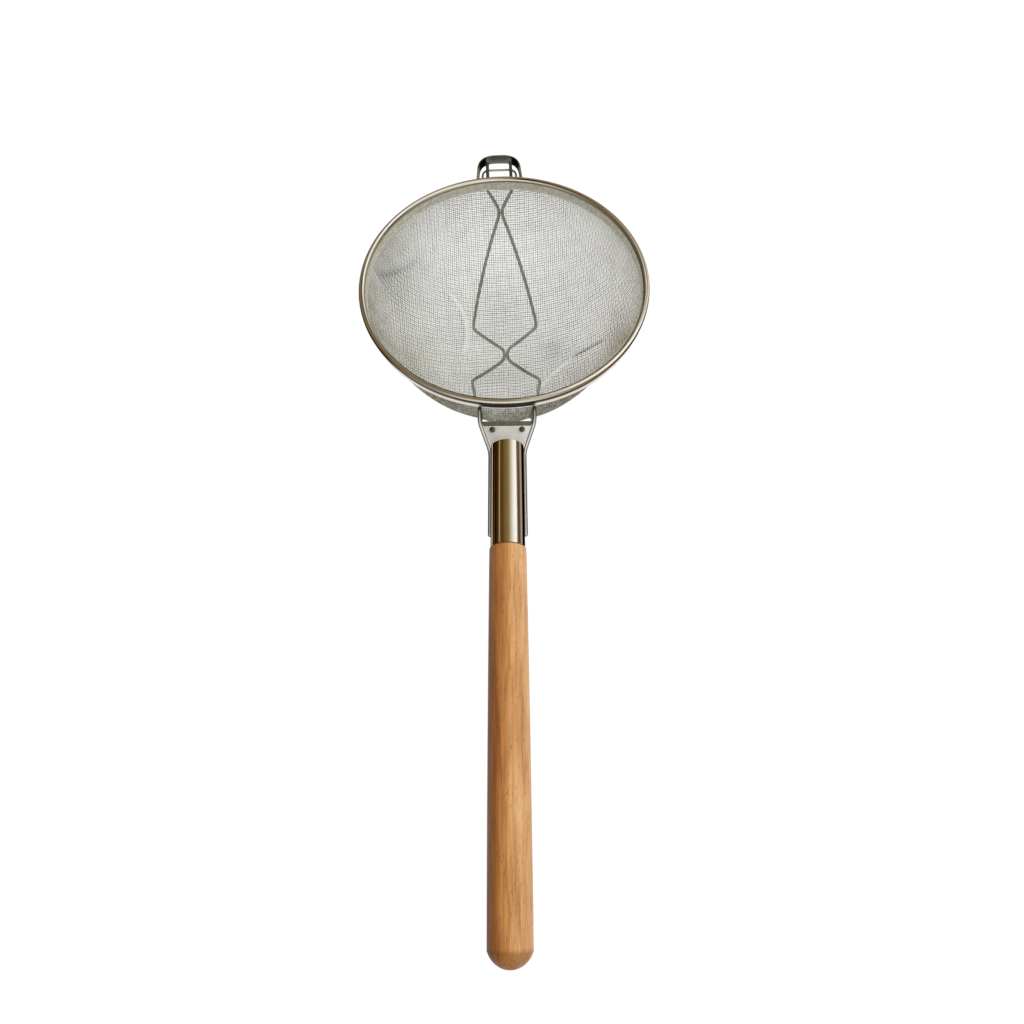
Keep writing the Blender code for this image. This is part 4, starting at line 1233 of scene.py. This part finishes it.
pin_place = FERRULE_LENGTH - PIN_FROM_FERRULE_END
pin_top = FERRULE_RADIUS + TOUCH
pin_tip = FERRULE_RADIUS - PIN_LENGTH
pin_turn = np.radians(np.linspace(10, 90, 7))
pin_head = [PIN_HEAD_RADIUS * np.sin(pin_turn), pin_top + PIN_HEAD_HEIGHT * np.cos(pin_turn)]
pin_shank = [
    (PIN_SHANK_RADIUS, pin_top), (PIN_SHANK_RADIUS, pin_tip + PIN_SHANK_RADIUS), (0.1 * MM, pin_tip),
]
pin_points, pin_faces = turned(np.vstack([np.stack(pin_head, axis=-1), pin_shank]), 24)
pin_points = np.stack([pin_points[:, 0], -pin_points[:, 2], pin_place + pin_points[:, 1]], axis=-1)
add_piece(
    "ferrule_pin_head", (on_handle(pin_points), pin_faces), rivet_steel, ["ferrule_pin"],
)

# %% [markdown]
# ## Beech
# Beech is pale and warm, with straight fibres, faint broad bands where the year rings
# are cut, and many short dark flecks that lie along the grain. The pattern is worked
# out in the handle's own direction by a Mapping node: noise stretched along the handle
# gives the fibres, a distorted noise the bands, and a second stretched noise, cut off
# near its top, the flecks. The domed end is darkened by a painted shade, the wood is
# darker in a thin ring against the ferrule, and across the handle runs painted light and
# shade: darker down its left side, lighter and cooler, a painted sheen, down its right.

# %% The wood finish
HANDLE_LENGTH = 267.3 * MM
HANDLE_NECK_RADIUS, HANDLE_MIDDLE_RADIUS, HANDLE_END_RADIUS = 14.2 * MM, 14.75 * MM, 14.6 * MM
YEAR_RINGS = [(0.28, (0.39, 0.170, 0.046)), (0.50, (0.54, 0.262, 0.088)), (0.74, (0.66, 0.365, 0.150))]
FIBRE_TONES = [(0.30, (0.74, 0.67, 0.60)), (0.60, (1.06, 1.06, 1.05))]
# Across the handle, from left to right: painted shade down the left side, a cool painted sheen down the
# right.
SIDE_LIGHT_AND_SHADE = [
    (0.03, (0.31, 0.21, 0.07)), (0.16, (0.55, 0.40, 0.20)), (0.34, (0.88, 0.75, 0.54)),
    (0.56, (0.965, 0.95, 0.94)), (0.72, (1.07, 1.17, 1.42)), (0.90, (1.10, 1.24, 1.60)),
]
# The end's tone is a painted shade on the domed end; the ring's tone darkens a thin ring against the
# ferrule.
FLECK_TONE, END_SHADE, RING_TONE = (0.52, 0.40, 0.30, 1), (0.61, 0.49, 0.31, 1), (0.30, 0.22, 0.15, 1)


def beech_finish():
    """Bands times fibres, then times flecks, the end's painted shade, the sides' painted light and shade
    and the ring; bump from the fibres.
    """
    material, tree, shader = new_material("oiled_beech")
    lay = laid_along(tree, in_world(askew([0, -FERRULE_START, HANDLE_LEVEL])), (TIP, 0, HANDLE_TURN))
    fibres = stretched_noise(tree, lay, (1, 0.035, 1), Scale=900.0, Detail=5.0, Roughness=0.62)
    bands = stretched_noise(tree, lay, (1, 0.09, 0.55), Scale=150.0, Detail=3.0, Distortion=0.8)
    flecks = stretched_noise(tree, lay, (1, 0.22, 1), Scale=1100.0, Detail=1.0)
    flecked = calculated(tree, "MULTIPLY", ramped(tree, flecks, [(0.62, 0.0), (0.70, 1.0)]), 0.5)
    place = add_node(tree, "ShaderNodeSeparateXYZ", lay).outputs
    barrel_stop = -(FERRULE_LENGTH + HANDLE_LENGTH)
    # Painted shade on the domed end, and painted light and shade across the handle.
    at_end = ranged(tree, place["Y"], barrel_stop + 2 * MM, barrel_stop - 1 * MM)
    ended = calculated(tree, "MULTIPLY", at_end, 0.8)
    sideways = ranged(tree, place["X"], -HANDLE_NECK_RADIUS, HANDLE_NECK_RADIUS)
    ringed = ranged(tree, place["Y"], -(FERRULE_LENGTH + 1.5 * MM), -(FERRULE_LENGTH + 0.7 * MM))
    wood = ramped(tree, bands, YEAR_RINGS)
    for share, tone in (
        (1.0, ramped(tree, fibres, FIBRE_TONES)), (flecked, FLECK_TONE), (ended, END_SHADE),
        (1.0, ramped(tree, sideways, SIDE_LIGHT_AND_SHADE)), (ringed, RING_TONE),
    ):
        wood = mixed(tree, share, wood, tone, "MULTIPLY")
    feed(tree, shader, {
        "Specular IOR Level": 0.3, "Base Color": wood,
        "Roughness": ranged(tree, fibres, 0.0, 1.0, 0.58, 0.42),
        "Normal": bumped(tree, fibres, 0.35, 0.12 * MM),
    })
    return material


# %% The turned handle
SHOULDER, DOME_HEIGHT, SPIGOT_LENGTH = 0.8 * MM, 10.37 * MM, 72.0 * MM

beech = beech_finish()
barrel_start = FERRULE_LENGTH + TOUCH
barrel_end = barrel_start + HANDLE_LENGTH
ball = (HANDLE_END_RADIUS**2 + DOME_HEIGHT**2) / (2 * DOME_HEIGHT)
spread = math.degrees(math.asin(HANDLE_END_RADIUS / ball))
dome = arc((0.0, barrel_end + DOME_HEIGHT - ball), ball, 89, 90 - spread, 26)
barrel_z = np.linspace(barrel_end - 0.4 * MM, barrel_start + SHOULDER, 40)
share = (barrel_z - barrel_start) / HANDLE_LENGTH
barrel_r = (1 - share) * (1 - 2 * share) * HANDLE_NECK_RADIUS
barrel_r += 4 * share * (1 - share) * HANDLE_MIDDLE_RADIUS
barrel_r += share * (2 * share - 1) * HANDLE_END_RADIUS
shoulder = arc((HANDLE_NECK_RADIUS - SHOULDER, barrel_start + SHOULDER), SHOULDER, -10, -90, 7)
spigot = FERRULE_RADIUS - FERRULE_WALL - TOUCH
spigot_end = FERRULE_LENGTH - SPIGOT_LENGTH
inner = np.array(
    [
        (spigot, barrel_start), (spigot, spigot_end + SHOULDER), (spigot - SHOULDER, spigot_end),
        (0.5 * MM, spigot_end),
    ]
)
profile = np.vstack([dome, np.stack([barrel_r, barrel_z], axis=-1), shoulder, inner])
wood_points, wood_faces = turned(profile, 128)
add_piece(
    "wooden_handle_turned", (on_handle(wood_points), wood_faces), beech, ["wooden_handle"],
    sharp=22,
)

# %% [markdown]
# ## Floor, light and reflections
# The strainer lies on plain white. The floor shows its own white to the camera and in
# the metal, and keeps a part of the shadow. Bright steel shows the room more than
# itself, so besides a large soft lamp the room has something to mirror: long soft
# strips beside and above the handle, white to the right and warm brown to the left.
# They run along Y, and are written as a ramp over the angle round Y.

# %% The floor
FLOOR_GLOW, GLOW_SHARE = 1.085, 0.88


def floor_finish():
    """White light to camera, mirror and glass rays, mixed with a diffuse white that keeps shadow."""
    material, tree, _ = new_material("white_floor")
    tree.nodes.clear()
    paint = add_node(tree, "ShaderNodeBsdfDiffuse", (0.62, 0.62, 0.62, 1)).outputs[0]
    glow = add_node(tree, "ShaderNodeEmission", (1, 1, 1, 1), FLOOR_GLOW).outputs[0]
    rays = add_node(tree, "ShaderNodeLightPath").outputs
    seen = calculated(tree, "MAXIMUM", rays["Is Camera Ray"], rays["Is Glossy Ray"])
    seen = calculated(tree, "MAXIMUM", seen, rays["Is Transmission Ray"])
    share = calculated(tree, "MULTIPLY", seen, GLOW_SHARE)
    mix = add_node(tree, "ShaderNodeMixShader", share, paint, glow).outputs[0]
    add_node(tree, "ShaderNodeOutputMaterial", mix)
    return material


FLOOR_HALF = 4.0
floor_mesh = bpy.data.meshes.new("floor")
floor_corners = [(FLOOR_HALF * x, FLOOR_HALF * y, 0) for x, y in ((-1, -1), (1, -1), (1, 1), (-1, 1))]
floor_mesh.from_pydata(floor_corners, [], [(0, 1, 2, 3)])
floor_mesh.materials.append(floor_finish())
floor = bpy.data.objects.new("floor", floor_mesh)
bpy.context.scene.collection.objects.link(floor)
floor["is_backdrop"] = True

# %% The room that the steel mirrors
ROOM = [
    (-110, (0.10, 0.06, 0.03)), (-88, (0.022, 0.009, 0.003)), (-64, (0.05, 0.024, 0.006)),
    (-59, (0.09, 0.05, 0.014)), (-56, (0.44, 0.29, 0.10)), (-51, (0.38, 0.24, 0.075)),
    (-46, (0.075, 0.038, 0.010)), (-30, (0.085, 0.045, 0.012)), (-18, (0.155, 0.095, 0.028)),
    (0, (0.20, 0.135, 0.048)), (12, (0.32, 0.25, 0.125)), (24, (0.60, 0.53, 0.38)),
    (36, (0.88, 0.83, 0.72)), (46, (1.0, 0.98, 0.94)), (60, (1.0, 1.0, 0.98)), (65, (0.16, 0.13, 0.10)),
    (77, (0.14, 0.115, 0.09)), (84, (0.35, 0.30, 0.25)), (110, (0.6, 0.6, 0.58)),
]
DAYLIGHT = [(-100, 0.40), (-50, 0.58), (-10, 0.78), (35, 1.0), (100, 0.96)]
DAYLIGHT_STRENGTH = 1.06
RAMP_REACH = 120
CREAM_FROM, CREAM_TO = -0.72, -0.94


def room_light():
    """Mirror rays see ROOM over atan2(x, z) of their direction, and cream low on the camera's side.

    All other rays see the soft DAYLIGHT over the same angle, which grows from the left to the right.
    """
    world = bpy.data.worlds.new("studio")
    world.use_nodes = True
    tree = world.node_tree
    tree.nodes.clear()
    where = add_node(tree, "ShaderNodeTexCoord").outputs["Generated"]
    way = add_node(tree, "ShaderNodeSeparateXYZ", where).outputs
    angle = calculated(tree, "ARCTAN2", way["X"], way["Z"])
    place = ranged(tree, angle, -math.radians(RAMP_REACH), math.radians(RAMP_REACH))
    strips, day = [
        ramped(tree, place, [((turn + RAMP_REACH) / (2 * RAMP_REACH), tone) for turn, tone in table])
        for table in (ROOM, DAYLIGHT)
    ]
    front = ranged(tree, way["Y"], CREAM_FROM, CREAM_TO, interpolation_type="SMOOTHSTEP")
    strips = mixed(tree, front, strips, (1.0, 0.95, 0.86, 1))
    mirrored = add_node(tree, "ShaderNodeBackground", strips, 1.0).outputs[0]
    even = add_node(tree, "ShaderNodeBackground", day, DAYLIGHT_STRENGTH).outputs[0]
    rays = add_node(tree, "ShaderNodeLightPath").outputs
    mix = add_node(tree, "ShaderNodeMixShader", rays["Is Glossy Ray"], even, mirrored).outputs[0]
    add_node(tree, "ShaderNodeOutputWorld", mix)
    return world


bpy.context.scene.world = room_light()


# %% Lamps
def standing(axes, place):
    """The matrix of a lamp or camera, which looks along its own -z, from its three axes and its place."""
    return Matrix([[*axes[k], place[k]] for k in range(3)] + [[0, 0, 0, 1]])


def soft_lamp(name, place, aim, size, power):
    """A square area lamp that faces the point it is aimed at."""
    lamp = bpy.data.lights.new(name, "AREA")
    lamp.shape = "SQUARE"
    lamp.size = size
    lamp.energy = power
    holder = bpy.data.objects.new(name, lamp)
    holder.visible_glossy = False
    bpy.context.scene.collection.objects.link(holder)
    ahead = (np.array(aim) - np.array(place)).astype(float)
    ahead /= np.linalg.norm(ahead)
    side = np.cross(ahead, (0, 0, 1.0))
    side /= np.linalg.norm(side)
    above = np.cross(side, ahead)
    holder.matrix_world = standing(np.stack([side, above, -ahead], axis=-1), place)
    return holder


soft_lamp("soft_right", (1.1, 0.5, 1.3), (0, 0.05, 0.05), 0.9, 11)
soft_lamp("soft_left", (-1.2, -0.4, 1.2), (0, 0.05, 0.05), 0.9, 4)

# %% [markdown]
# ## Camera
# The photograph was taken from the handle's side, looking steeply down from about
# 0.7 m. The camera's place and turns were found by fitting the rim's ellipse and the
# handle's edges, and are given in the rim's frame like everything else. The focal
# length is in pixels of the 1024-pixel picture and becomes a lens for a 36 mm sensor.

# %% Place the camera
PICTURE, FOCAL_PIXELS, SENSOR = 1024, 758.1, 36.0
CAMERA_PLACE = np.array([7.0, -474.9, 528.1]) * MM
PITCH, YAW, ROLL = math.radians(64.94), math.radians(-0.562), math.radians(-1.351)

ahead = np.array([math.sin(YAW) * math.cos(PITCH), math.cos(YAW) * math.cos(PITCH), -math.sin(PITCH)])
level = np.array([math.cos(YAW), -math.sin(YAW), 0])
upright = np.cross(level, ahead)
right = level * math.cos(ROLL) + upright * math.sin(ROLL)
top = upright * math.cos(ROLL) - level * math.sin(ROLL)
axes = TIPPED @ np.stack([right, top, -ahead], axis=-1)
spot = in_world(CAMERA_PLACE)

lens = bpy.data.cameras.new("camera")
lens.sensor_width = SENSOR
lens.lens = SENSOR * FOCAL_PIXELS / PICTURE
camera = bpy.data.objects.new("camera", lens)
bpy.context.scene.collection.objects.link(camera)
camera.matrix_world = standing(axes, spot)
bpy.context.scene.camera = camera
bpy.context.scene.view_settings.view_transform = "Standard"
print("camera at", spot.round(4), "lens", round(lens.lens, 2), "mm")

# %% Compare the dressed model's size with the solid model's
low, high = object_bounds()
grown = [round((b - a) * 1000, 2) for a, b in zip([*cad_low, *cad_high], [*low, *high])]
print("dressed model grows by (mm):", grown)
